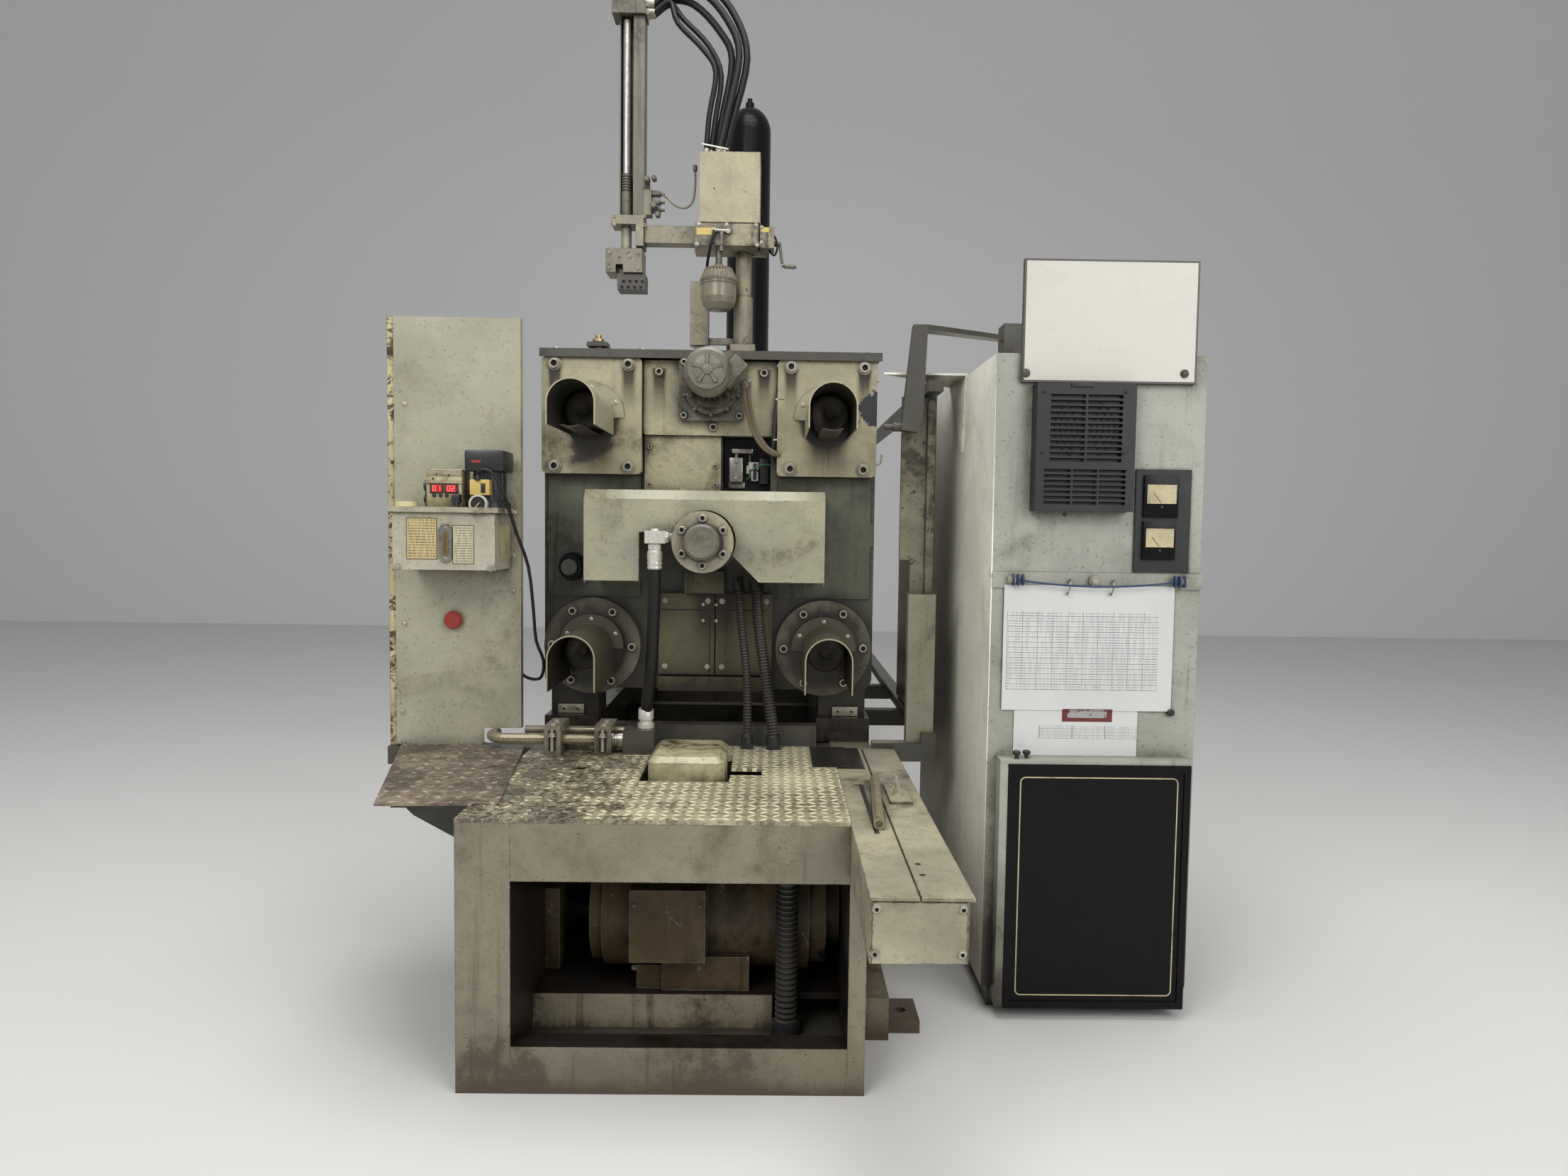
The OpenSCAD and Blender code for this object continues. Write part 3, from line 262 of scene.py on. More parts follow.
def worn_paint(name, paint, grime=(0.035, 0.03, 0.024), faded=None, oil=0.5, streaks=0.4, chips=0.3,
        rust=(0.16, 0.075, 0.035), gloss=0.45, scale=1.0, low_dark=None, soaked=None, mottle=0.45,
        specular=0.5, drips=(), bare_at=None):
    """Old enamel: blotched colour, oil film, vertical runs, chipped edges down to dark metal or rust.
    low_dark is (z where it is darkest, z where it is clean): darker low down, painted shade and soaked oil
    in one.
    soaked is (points, inner, outer) for places black with oil, as in near. drips is (points, half width,
    length) for the soft marks that hang under screws and ledges, drip stains with painted cast shadow;
    bare_at is (points, inner, outer) for lost paint."""
    s = Shader(name)
    faded = faded or tuple(min(1, c * 1.22) for c in paint)
    tone = s.mix(s.ramp(s.noise(2.6 * scale, 5), 0.38, 0.62), paint, faded)
    tone = s.mix(s.ramp(s.noise(11 * scale, 6, 0.6, warp=0.6), 0.44, 0.7, 0, mottle), tone,
        shade(paint, 0.66))
    tone = s.mix(s.ramp(s.noise(70 * scale, 4), 0.5, 0.72, 0, 0.6 * mottle), tone, shade(paint, 0.62))
    cloud = s.ramp(s.noise(3.0 * scale, 6, 0.56, warp=0.9), 0.58 - 0.17 * oil, 0.76 - 0.13 * oil)
    grain = s.ramp(s.noise(26 * scale, 7, 0.7), 0.36, 0.62, 0.25, 1.0)
    runs = s.ramp(s.noise(34 * scale, 7, 0.65, (1, 1, 0.05)), 0.6 - 0.13 * streaks, 0.74 - 0.1 * streaks)
    # Darker in corners and gaps by ambient occlusion: painted shade, with grime.
    corner_shade_and_grime = s.mul(s.crevice(0.045), s.ramp(s.noise(19, 6, 0.7), 0.3, 0.6, 0.35, 1.0))
    dirt = s.mul(s.mul(cloud, grain), 0.3 + 0.65 * oil)
    dirt = s.add(dirt, s.mul(runs, 0.9 * streaks))
    dirt = s.add(dirt, s.mul(corner_shade_and_grime, 0.4 + 0.4 * oil))
    # Darker towards the bottom: painted shade, with oil.
    if low_dark:
        fall = s.along("Z", *low_dark, 1.0, 0.0)
        wobble = s.ramp(s.noise(4.2, 7, 0.7), 0.3, 0.62, 0.5, 1.0)
        dirt = s.add(dirt, s.mul(fall, wobble))
    specks = s.ramp(s.noise(150 * scale, 3, 0.6), 0.62, 0.7, 0, 0.5)
    dirt = s.add(dirt, specks)
    if soaked:
        dirt = s.add(dirt, s.near(*soaked))
    # Soft marks hanging under screws and ledges: drip stains with painted cast shadow.
    for stain in drips:
        dirt = s.add(dirt, s.mul(s.hanging(*stain), 0.85))
    # The dirt mask mixed in here also carries painted shade: in corners, low down and under screws and
    # ledges.
    stained = tuple(0.34 * c * f + 0.3 * g for c, f, g in zip(paint, (1.0, 0.92, 0.72), grime))
    colour = s.mix(s.mul(dirt, 1.5), tone, s.mix(s.ramp(dirt, 0.4, 0.95), stained, grime))
    chip_noise = s.noise(42 * scale, 8, 0.75)
    edge = s.edges(0.004)
    worn = s.mul(edge, s.ramp(chip_noise, 0.6 - 0.3 * chips, 0.7 - 0.3 * chips))
    spots = s.ramp(s.noise(15 * scale, 10, 0.8, warp=0.8), 0.71 - 0.12 * chips, 0.725 - 0.12 * chips)
    worn = s.add(worn, spots)
    bare = s.mix(s.ramp(s.noise(60, 5), 0.4, 0.6), rust, shade(rust, 0.45))
    colour = s.mix(worn, colour, bare)
    if bare_at:
        ragged = s.math("ADD", s.near(*bare_at), s.math("MULTIPLY", s.noise(48, 8, 0.75), 1.6))
        colour = s.mix(s.ramp(ragged, 1.28, 1.33), colour, (0.016, 0.018, 0.022))
    rough = s.ramp(dirt, 0.0, 1.0, gloss, max(0.22, gloss - 0.16))
    rough = s.add(rough, s.mul(worn, 0.3))
    s.bump(s.noise(210 * scale, 3), 0.12, 0.0006)
    s.bump(s.noise(24 * scale, 3), 0.12, 0.002)
    s.bump(s.sub(1.0, worn), 0.35, 0.0006)
    return s.finish(colour, rough, specular=specular)


def metal(name, colour, rough, grime, rust=None, shine=1.0):
    """Worn steel with oily stains; shine is how metallic its clean parts look."""
    s = Shader(name)
    oil_film = (0.03, 0.026, 0.02)
    stain = s.ramp(s.noise(9, 8, 0.7, warp=0.4), 0.7 - 0.35 * grime, 0.92 - 0.3 * grime)
    fine = s.noise(160, 4)
    tone = s.mix(s.ramp(fine, 0.35, 0.7), colour, shade(colour, 0.72))
    if rust:
        tone = s.mix(s.ramp(s.noise(21, 9, 0.8), 0.5, 0.66), tone, rust)
    tone = s.mix(s.mul(stain, 0.9), tone, oil_film)
    s.bump(fine, 0.14, 0.0004)
    return s.finish(tone, s.ramp(s.noise(34, 5), 0.3, 0.75, rough * 0.75, rough * 1.5),
        s.ramp(stain, 0.0, 1.0, shine, 0.35 * shine))


def rubber(name, colour, rough, dust=(0.12, 0.11, 0.09)):
    s = Shader(name)
    film = s.ramp(s.noise(16, 7, 0.7), 0.5, 0.8, 0, 0.45)
    tone = s.mix(s.mul(film, s.ramp(s.noise(70, 5), 0.4, 0.7)), colour, dust)
    s.bump(s.noise(260, 3), 0.2, 0.0005)
    return s.finish(tone, s.ramp(film, 0, 0.45, rough, rough + 0.25), specular=0.3)


def plastic(name, colour, rough, grime):
    s = Shader(name)
    dirt = s.ramp(s.noise(22, 8, 0.7), 0.72 - 0.3 * grime, 0.95 - 0.2 * grime, 0, 0.8)
    tone = s.mix(dirt, colour, shade(colour, 0.3))
    s.bump(s.noise(300, 2), 0.06, 0.0004)
    return s.finish(tone, s.ramp(dirt, 0, 1, rough, rough + 0.2))


def hood_paint(name, outside, rim, centres, front):
    """A bar hood: paint outside, a rim of its own colour in front and near-black walls inside, painted
    shade with oil.
    """
    s = Shader(name)
    tone = s.mix(s.ramp(s.noise(9, 6), 0.35, 0.7), outside, shade(outside, 0.8))
    stain = s.ramp(s.noise(12, 9, 0.72, warp=0.4), 0.52, 0.72, 0, 0.85)
    runs = s.ramp(s.noise(30, 6, 0.65, (1, 1, 0.06)), 0.6, 0.8, 0, 0.6)
    tone = s.mix(s.most(stain, runs), tone, (0.05, 0.043, 0.03))
    tone = s.mix(s.along("Y", front + 0.0015, front + 0.004, 0.85, 0.0), tone, rim)
    # Walls inside the hood near black: painted shade, with oil.
    tone = s.mix(s.under_hood(centres, 0.0598, 0.0612), tone, (0.026, 0.022, 0.017))
    chips = s.ramp(s.noise(36, 8, 0.75), 0.62, 0.66)
    tone = s.mix(s.mul(chips, 0.7), tone, (0.06, 0.04, 0.026))
    s.bump(s.noise(200, 3), 0.12, 0.0006)
    return s.finish(tone, s.ramp(stain, 0, 1, 0.45, 0.3))


def tread_plate(name, paint, dark, cover, pitch=0.027):
    """Painted lens-pattern plate, worn through in flakes, with painted highlights on the studs and painted
    shade between them. cover is the share of paint left at its left and right end."""
    left, right = -0.42, 0.2
    s = Shader(name)
    studs = s.lens_plate(pitch, 0.027, 0.0105)
    tone = s.mix(s.ramp(s.noise(5, 6), 0.38, 0.62), paint, shade(paint, 0.74))
    tone = s.mix(s.ramp(s.noise(90, 4), 0.45, 0.7, 0, 0.5), tone, shade(paint, 0.6))
    flakes = s.noise(17, 12, 0.82, warp=0.35)
    shift = s.along("X", left, right, *(0.65 - 0.3 * share for share in cover))
    shift = s.math("SUBTRACT", shift, s.math("MULTIPLY", studs, 0.045))
    kept = s.ramp(s.math("SUBTRACT", flakes, shift), -0.012, 0.012)
    ground = s.mix(s.ramp(s.noise(80, 5), 0.4, 0.7), dark, shade(dark, 2.6))
    tone = s.mix(kept, ground, tone)
    # Darker ground between the studs: painted shade.
    between = s.mul(s.sub(1.0, studs), s.ramp(s.noise(3.2, 5), 0.36, 0.6, 0.45, 0.95))
    tone = s.mix(between, tone, s.mix(s.ramp(s.noise(55, 6, 0.7), 0.4, 0.6), shade(paint, 0.55),
        shade(paint, 0.2)))
    # Studs lighter where their paint is kept: painted highlight, with wear.
    tone = s.mix(s.mul(studs, s.mul(kept, 0.6)), tone, tuple(min(1.45 * c, 0.9) for c in paint))
    oil = s.mul(s.along("X", -0.44, -0.05, 0.75, 0.15), s.ramp(s.noise(5.5, 9, 0.74, warp=0.9), 0.47, 0.6))
    tone = s.mix(oil, tone, (0.024, 0.018, 0.012))
    s.bump(studs, 0.9, 0.0022)
    s.bump(kept, 0.4, 0.0005)
    s.bump(s.noise(170, 3), 0.2, 0.0006)
    return s.finish(tone, s.ramp(oil, 0, 1, 0.38, 0.22))


def lamp_face(name, colour, strength):
    s = Shader(name)
    s.bsdf.inputs["Emission Color"].default_value = (*colour, 1)
    s.bsdf.inputs["Emission Strength"].default_value = strength
    return s.finish(colour, 0.4)


def printed_sheets(name, paper, ink):
    """The two laminated sheets: ruled tables with rows of grey print and a dark red picture."""
    s = Shader(name)
    tone = s.mix(s.ramp(s.noise(5, 4), 0.3, 0.7), paper, shade(paper, 0.93))
    first = (0.776, 1.157, 0.827, 1.025)
    second = (0.864, 1.113, 0.703, 0.736)
    for area, pitch, column in ((first, 0.0132, 0.0381), (second, 0.0082, 0.083)):
        lines = s.most(s.stripes("Z", pitch, 0.075, area[2]), s.stripes("X", column, 0.022, area[0]))
        marks = s.most(lines, s.mul(s.rows_of_print(pitch / 2, area[2], 190), 0.55))
        tone = s.mix(s.mul(s.window(*area), s.mul(marks, 0.95)), tone, ink)
    picture = s.window(0.921, 1.048, 0.746, 0.779)
    tone = s.mix(picture, tone, (0.13, 0.025, 0.022))
    petals = s.mul(s.window(0.935, 1.034, 0.756, 0.777), s.ramp(s.noise(60, 3), 0.42, 0.5))
    tone = s.mix(petals, tone, (0.33, 0.33, 0.32))
    return s.finish(tone, 0.22)


def printed_label(name, paper, ink, pitch, box):
    """A small label with a frame and rows of print; box is its place seen along Y."""
    s = Shader(name)
    x0, x1, z0, z1 = box
    edge = 0.004
    inside = s.window(x0 + edge, x1 - edge, z0 + edge, z1 - edge)
    marks = s.mul(inside, s.rows_of_print(pitch, z0, 300))
    stain = s.ramp(s.noise(40, 6, 0.7), 0.5, 0.8, 0, 0.5)
    tone = s.mix(stain, paper, shade(paper, 0.6))
    tone = s.mix(s.mul(marks, 0.9), tone, ink)
    rim = 0.0018
    tone = s.mix(s.window(x0 + rim, x1 - rim, z0 + rim, z1 - rim), ink, tone)
    return s.finish(tone, 0.4)


def framed_face(name, face, rim, box, margin):
    """A pale board with a dark rim; box is its place seen along Y."""
    s = Shader(name)
    x0, x1, z0, z1 = box
    blotch = s.ramp(s.noise(7, 9, 0.72, warp=0.5), 0.48, 0.75, 0, 0.4)
    tone = s.mix(blotch, face, shade(face, 0.78))
    specks = s.ramp(s.noise(120, 3), 0.68, 0.74, 0, 0.5)
    tone = s.mix(specks, tone, (0.2, 0.17, 0.12))
    tone = s.mix(s.window(x0 + margin, x1 - margin, z0 + margin, z1 - margin), rim, tone)
    return s.finish(tone, 0.42)


# Points on the plates under which soft dark marks hang: drip stains, with painted cast shadow under the
# screws and hoods.
SCREW_STAINS_AND_SHADOWS = [(x, 1.68) for x in (-0.446, -0.234, 0.234, 0.446, -0.148, 0.156)]
HOOD_STAINS_AND_SHADOWS = [(-0.34, 1.53), (0.34, 1.53)]
AXIS_Z = 1.205
ARM_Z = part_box("sprayer_box")[0][2] - 0.03
BAR_X, BAR_Z = 0.34, 0.335
BARS = [(side * BAR_X, AXIS_Z + level * BAR_Z) for side in (-1, 1) for level in (-1, 1)]
UPPER_BARS = [at for at in BARS if at[1] > AXIS_Z]
LOWER_BARS = [at for at in BARS if at[1] < AXIS_Z]
PIPE = (-0.25, 0.636)
SIGN = (0.794, 1.224, 1.59, 1.888)
TANK_LABEL = (-0.768, -0.688, 1.129, 1.237)
TANK_SIDE_LABEL = (-0.648, -0.592, 1.118, 1.219)
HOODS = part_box("guard_upper_left")[0][1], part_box("guard_lower_left")[0][1]
mat = {
    "housing": worn_paint("housing_paint", (0.1, 0.102, 0.07), oil=0.62, streaks=0.5, chips=0.22,
            rust=(0.05, 0.042, 0.03), low_dark=(0.62, 1.22)),
    "plates": worn_paint("plate_paint", (0.345, 0.312, 0.205), oil=0.6, streaks=0.25, chips=0.2,
            faded=(0.44, 0.4, 0.265), rust=(0.1, 0.065, 0.035), soaked=(UPPER_BARS, 0.055, 0.092),
            drips=((SCREW_STAINS_AND_SHADOWS, 0.026, 0.15), (HOOD_STAINS_AND_SHADOWS, 0.08, 0.26)),
            bare_at=(((0.484, 1.57),), 0.01, 0.095)),
    # Inspection cover: darker low down, as painted shade below its lit top, and a painted shadow with stain
    # under the centre box.
    "lower": worn_paint("lower_paint", (0.112, 0.103, 0.062), oil=0.6, streaks=0.4, chips=0.2, gloss=0.42,
            specular=0.25, rust=(0.05, 0.04, 0.026), low_dark=(0.66, 0.9),
            drips=((((0.02, 1.03),), 0.085, 0.27),)),
    "flange": worn_paint("flange_paint", (0.088, 0.083, 0.056), oil=0.7, streaks=0.3, chips=0.25,
            gloss=0.35, rust=(0.05, 0.042, 0.03), faded=(0.15, 0.142, 0.1),
            soaked=(LOWER_BARS, 0.07, 0.13)),
    "cover": worn_paint("cover_paint", (0.285, 0.278, 0.205), oil=0.42, streaks=0.2, chips=0.25, gloss=0.4,
            mottle=0.3, faded=(0.37, 0.35, 0.24), rust=(0.12, 0.085, 0.05)),
    "hood_top": hood_paint("hood_paint_upper", (0.34, 0.315, 0.21), (0.4, 0.36, 0.24), UPPER_BARS,
            HOODS[0]),
    "hood_low": hood_paint("hood_paint_lower", (0.075, 0.068, 0.042), (0.36, 0.32, 0.205), LOWER_BARS,
            HOODS[1]),
    "panel": worn_paint("panel_paint", (0.31, 0.296, 0.215), oil=0.18, streaks=0.12, chips=0.2, mottle=0.2),
    "panel_edge": worn_paint("panel_edge_paint", (0.5, 0.42, 0.25), oil=0.4, streaks=0.3, chips=1.6,
            rust=(0.11, 0.05, 0.03), scale=1.6),
    "cabinet": worn_paint("cabinet_paint", (0.285, 0.29, 0.243), oil=0.3, streaks=0.26, chips=0.12,
            mottle=0.25, low_dark=(0.0, 0.45)),
    # Side of the cabinet, much lighter than its front paint: painted light on that side.
    "cabinet_side_lit": worn_paint("cabinet_side_lit_paint", (0.8, 0.785, 0.675), oil=0.2, streaks=0.24, chips=0.12,
            grime=(0.3, 0.24, 0.17), low_dark=(0.0, 0.35), mottle=0.18),
    # Bed: darker towards the bottom, partly painted shade.
    "bed": worn_paint("bed_paint", (0.195, 0.178, 0.12), oil=0.5, streaks=0.35, chips=0.5,
            low_dark=(-0.12, 0.2), rust=(0.12, 0.055, 0.028), grime=(0.07, 0.05, 0.034), mottle=0.4),
    # Near black for the bed's inside and recesses: painted shade, with oily dirt.
    "inside_shade": worn_paint("inside_shade_paint", (0.02, 0.016, 0.013), oil=0.8, streaks=0.3, chips=0.3,
            grime=(0.01, 0.008, 0.006)),
    "trough": worn_paint("trough_paint", (0.275, 0.252, 0.175), oil=0.62, streaks=0.22, chips=0.5,
            faded=(0.4, 0.365, 0.25), rust=(0.07, 0.05, 0.035), mottle=0.5),
    "cap": worn_paint("deck_cap_paint", (0.25, 0.222, 0.135), oil=0.7, streaks=0.45, chips=0.7,
            faded=(0.46, 0.41, 0.25), rust=(0.1, 0.07, 0.045), gloss=0.3),
    "deck": tread_plate("deck_paint", (0.62, 0.555, 0.37), (0.032, 0.021, 0.014), (0.3, 0.82)),
    "side_deck": tread_plate("side_deck_paint", (0.36, 0.285, 0.2), (0.074, 0.045, 0.034), (0.55, 0.35),
            0.045),
    "dark_iron": worn_paint("dark_iron_paint", (0.062, 0.058, 0.046), oil=0.6, streaks=0.3, chips=0.35,
            gloss=0.42),
    "motor": worn_paint("motor_paint", (0.165, 0.155, 0.115), oil=0.8, streaks=0.35, chips=0.3, gloss=0.4,
            rust=(0.06, 0.05, 0.035)),
    "bay_motor": worn_paint("bay_motor_paint", (0.06, 0.04, 0.016), oil=0.6, streaks=0.4, chips=0.95,
            specular=0.22, rust=(0.21, 0.18, 0.14), faded=(0.125, 0.09, 0.048), scale=0.8,
            bare_at=(((0.335, 0.205),), 0.004, 0.05)),
    "bracket": worn_paint("bracket_paint", (0.26, 0.225, 0.155), oil=0.7, streaks=0.5, chips=0.6,
            rust=(0.13, 0.06, 0.03)),
    "channel": worn_paint("channel_paint", (0.255, 0.245, 0.172), oil=0.3, streaks=0.3, chips=0.2),
    "clamp_steel": worn_paint("clamp_paint", (0.2, 0.18, 0.125), oil=0.5, streaks=0.2, chips=0.6,
            gloss=0.35),
    "sprayer": worn_paint("sprayer_paint", (0.225, 0.205, 0.142), oil=0.75, streaks=0.45, chips=0.8,
            faded=(0.36, 0.32, 0.21), rust=(0.05, 0.042, 0.03)),
    "sprayer_dark": worn_paint("sprayer_dark_paint", (0.125, 0.115, 0.082), oil=0.6, streaks=0.5, chips=0.9,
            rust=(0.045, 0.04, 0.03)),
    "filter": worn_paint("filter_bowl", (0.165, 0.147, 0.1), oil=0.6, streaks=0.35, chips=0.6, gloss=0.28,
            faded=(0.25, 0.225, 0.155)),
    "door": worn_paint("door_paint", (0.235, 0.225, 0.155), oil=0.8, streaks=0.5, chips=1.0,
            rust=(0.03, 0.03, 0.028), scale=0.6, low_dark=(0.75, 1.25)),
    "spray_box": worn_paint("spray_box_paint", (0.33, 0.292, 0.195), oil=0.45, streaks=0.12, chips=0.75,
            faded=(0.42, 0.37, 0.235), mottle=0.35, rust=(0.11, 0.06, 0.035)),
    "vent": worn_paint("vent_paint", (0.022, 0.024, 0.0235), oil=0.3, streaks=0.2, chips=0.15,
            specular=0.3),
    "black": worn_paint("black_paint", (0.0035, 0.003, 0.0035), oil=0.1, streaks=0.1, chips=0.05, gloss=0.3,
            grime=(0.008, 0.007, 0.006), specular=0.18),
    "steel": metal("steel", (0.4, 0.38, 0.33), 0.3, 0.6),
    "bar_end": metal("bar_end_steel", (0.055, 0.048, 0.036), 0.34, 0.8, rust=(0.03, 0.022, 0.015)),
    "rails": metal("rail_steel", (0.1, 0.09, 0.075), 0.3, 0.9, rust=(0.06, 0.04, 0.025)),
    "bright": metal("bright_steel", (0.72, 0.69, 0.61), 0.28, 0.2, shine=0.35),
    "cylinder": worn_paint("cylinder_paint", (0.31, 0.285, 0.205), oil=0.6, streaks=0.1, chips=0.6,
            gloss=0.35, rust=(0.1, 0.085, 0.055), scale=1.6),
    "bolt": metal("bolt_steel", (0.46, 0.43, 0.34), 0.34, 0.35, rust=(0.24, 0.2, 0.14), shine=0.5),
    "chrome": metal("chrome", (0.62, 0.6, 0.55), 0.22, 0.1, shine=0.7),
    "brass": metal("brass", (0.5, 0.36, 0.16), 0.3, 0.35),
    "pipe": metal("pipe_steel", (0.4, 0.34, 0.23), 0.32, 0.3, shine=0.6),
    # Near black for sockets, rib valleys, holes and gaps: painted shade, with dirt.
    "groove_shade": plastic("groove_dirt_and_shade", (0.008, 0.007, 0.006), 0.6, 0.0),
    "rubber": rubber("black_rubber", (0.012, 0.011, 0.01), 0.42, (0.06, 0.055, 0.045)),
    "conduit": rubber("conduit_rubber", (0.055, 0.05, 0.042), 0.3),
    "beige": rubber("beige_sleeve", (0.2, 0.16, 0.11), 0.6, (0.33, 0.28, 0.2)),
    "tank": worn_paint("tank_plastic", (0.37, 0.338, 0.255), oil=0.55, streaks=0.3, chips=0.3, gloss=0.3,
            faded=(0.47, 0.44, 0.35), grime=(0.1, 0.08, 0.055), rust=(0.16, 0.12, 0.07), mottle=0.4),
    "white": plastic("white_plastic", (0.66, 0.64, 0.58), 0.4, 0.15),
    "sign": framed_face("sign_face", (0.54, 0.52, 0.455), (0.06, 0.055, 0.045), SIGN, 0.005),
    "cream_plastic": worn_paint("cream_plastic", (0.43, 0.37, 0.22), oil=0.5, streaks=0.1, chips=0.4,
            scale=2.5, rust=(0.16, 0.12, 0.07), gloss=0.35),
    "cap_cream": plastic("cap_cream", (0.62, 0.54, 0.3), 0.4, 0.2),
    "yellow": plastic("yellow_sticker", (0.56, 0.41, 0.12), 0.4, 0.35),
    "label_yellow": printed_label("label_yellow", (0.52, 0.42, 0.2), (0.07, 0.055, 0.035), 0.0072,
            TANK_LABEL),
    "label_pale": printed_label("label_pale", (0.5, 0.45, 0.31), (0.09, 0.075, 0.05), 0.0066,
            TANK_SIDE_LABEL),
    "paper": printed_sheets("sheet_paper", (0.62, 0.62, 0.6), (0.13, 0.14, 0.16)),
    "red": plastic("red_plastic", (0.3, 0.03, 0.022), 0.4, 0.4),
    "glow_red": plastic("display_red", (0.42, 0.02, 0.02), 0.25, 0.05),
    "green": plastic("green_wire", (0.05, 0.2, 0.11), 0.4, 0.3),
    "blue": plastic("blue_cord", (0.018, 0.042, 0.1), 0.5, 0.2),
    "dark_patch": worn_paint("dark_patch", (0.02, 0.018, 0.015), oil=0.5, streaks=0.0, chips=0.2,
            gloss=0.35),
    "dark_glass": plastic("sight_glass", (0.16, 0.11, 0.045), 0.08, 0.3),
    "lit": lamp_face("lit_digits", (1.0, 0.1, 0.08), 2.2),
    "black_plastic": plastic("black_plastic", (0.02, 0.02, 0.021), 0.35, 0.1),
}


# Mesh building

FRONT, UP = Vector((0, -1, 0)), Vector((0, 0, 1))

SMOOTH_BELOW = 35


def side_axes(axis):
    axis = Vector(axis).normalized()
    helper = UP if abs(axis.z) < 0.9 else Vector((1, 0, 0))
    u = axis.cross(helper).normalized()
    return axis, u, axis.cross(u)


def smooth_path(points, steps):
    """Points of a curve that runs through the given ones."""
    p = [Vector(q) for q in points]
    out = []
    for i in range(len(p) - 1):
        a, b, c, d = p[max(i - 1, 0)], p[i], p[i + 1], p[min(i + 2, len(p) - 1)]
        for k in range(steps):
            t = k / steps
            out.append(0.5 * (2 * b + (c - a) * t + (2 * a - 5 * b + 4 * c - d) * t * t
                              + (3 * b - a - 3 * c + d) * t ** 3))
    return out + [p[-1]]


class Piece:
    """One visible piece that rides on a body; its forms are added one after another."""

    def __init__(self, name, body, material):
        self.name, self.body, self.material = name, body, material
        self.bm = bmesh.new()

    def ring(self, centre, u, v, r, n):
        return [self.bm.verts.new(centre + r * (math.cos(2 * math.pi * k / n) * u
                                                + math.sin(2 * math.pi * k / n) * v)) for k in range(n)]

    def bridge(self, a, b):
        n = len(a)
        for k in range(n):
            self.bm.faces.new((a[k], a[(k + 1) % n], b[(k + 1) % n], b[k]))

    def paint_groove_shade(self, some):
        """Gives some of the latest faces the second, near-black material: painted shade with dirt."""
        self.bm.faces.ensure_lookup_table()
        for face in self.bm.faces[some]:
            face.material_index = 1

    def box(self, low, high, bevel=0.0, turn=None, about=None):
        low, high = Vector(low), Vector(high)
        middle = (low + high) / 2
        made = bmesh.ops.create_cube(self.bm, size=1.0)["verts"]
        for vert in made:
            vert.co = Vector([middle[i] + vert.co[i] * (high[i] - low[i]) for i in range(3)])
        if bevel:
            edges = list({e for v in made for e in v.link_edges})
            made = bmesh.ops.bevel(self.bm, geom=edges, offset=bevel, segments=2, profile=0.6,
                affect="EDGES")["verts"]
        if turn:
            bmesh.ops.rotate(self.bm, cent=about or middle, matrix=turn, verts=list(set(made)))
        return self

    def lathe(self, at, axis, profile, n=24):
        """Turns a profile of (distance along the axis, radius) round the axis."""
        axis, u, v = side_axes(axis)
        at = Vector(at)
        rings = [self.ring(at + h * axis, u, v, max(r, 0.0002), n) for h, r in profile]
        for a, b in zip(rings, rings[1:]):
            self.bridge(a, b)
        self.bm.faces.new(rings[0][::-1])
        self.bm.faces.new(rings[-1])
        return self

    def rod(self, start, end, r, n=16, chamfer=0.0):
        start, end = Vector(start), Vector(end)
        length = (end - start).length
        c = min(chamfer, r * 0.5, length * 0.4)
        profile = [(0, r - c), (c, r), (length - c, r), (length, r - c)] if c else [(0, r), (length, r)]
        return self.lathe(start, end - start, profile, n)

    def socket_screw(self, at, axis, r, h=None, n=20):
        """Cap screw with a hexagon socket; at is under its head."""
        h = h or r * 1.1
        self.lathe(at, axis, [(0, r), (h * 0.86, r), (h, r * 0.88), (h, r * 0.58), (h * 0.35, r * 0.55)], n)
        # Inside of the socket near black: painted shade, with dirt.
        self.paint_groove_shade(slice(-n - 2, -2))
        self.paint_groove_shade(slice(-1, None))
        return self

    def hex_screw(self, at, axis, r, h=None):
        """Hexagon head on its washer; axis is a unit vector."""
        h = h or r * 0.75
        lift = r * 0.16
        self.lathe(at, axis, [(0, r * 1.35), (lift, r * 1.32)], 18)
        self.lathe(Vector(at) + lift * Vector(axis), axis, [(0, r), (h * 0.85, r), (h, r * 0.86)], 6)
        return self

    def pan_screw(self, at, axis, r):
        self.lathe(at, axis, [(0, r), (r * 0.3, r * 0.95), (r * 0.5, r * 0.6), (r * 0.5, r * 0.24),
            (r * 0.3, r * 0.2)], 14)
        return self

    def facing(self, draw, y, places, *sizes):
        """Draws a screw or a turned form towards the viewer at each (x, z)."""
        for x, z in places:
            draw(self, (x, y, z), FRONT, *sizes)
        return self

    def hose(self, points, r, steps=5, n=10):
        """A tube along a smooth path through a few points."""
        return self.tube(smooth_path(points, steps), r, n)

    def tube(self, path, r, n=14, rib=0.0, pitch=0.006):
        """A hose along a path of close points; rib makes it corrugated."""
        path = [Vector(p) for p in path]
        if rib:
            fine = []
            for a, b in zip(path, path[1:]):
                count = max(1, int((b - a).length / (pitch / 4)))
                fine += [a.lerp(b, k / count) for k in range(count)]
            path = fine + [path[-1]]
        previous, u = None, None
        for i, point in enumerate(path):
            t = (path[min(i + 1, len(path) - 1)] - path[max(i - 1, 0)]).normalized()
            if u is None:
                u = side_axes(t)[1]
            u = (u - u.dot(t) * t).normalized()
            v = t.cross(u)
            radius = r - (rib if (i % 4) in (0, 1) else 0.0)
            ring = self.ring(point, u, v, radius, n)
            if previous:
                self.bridge(previous, ring)
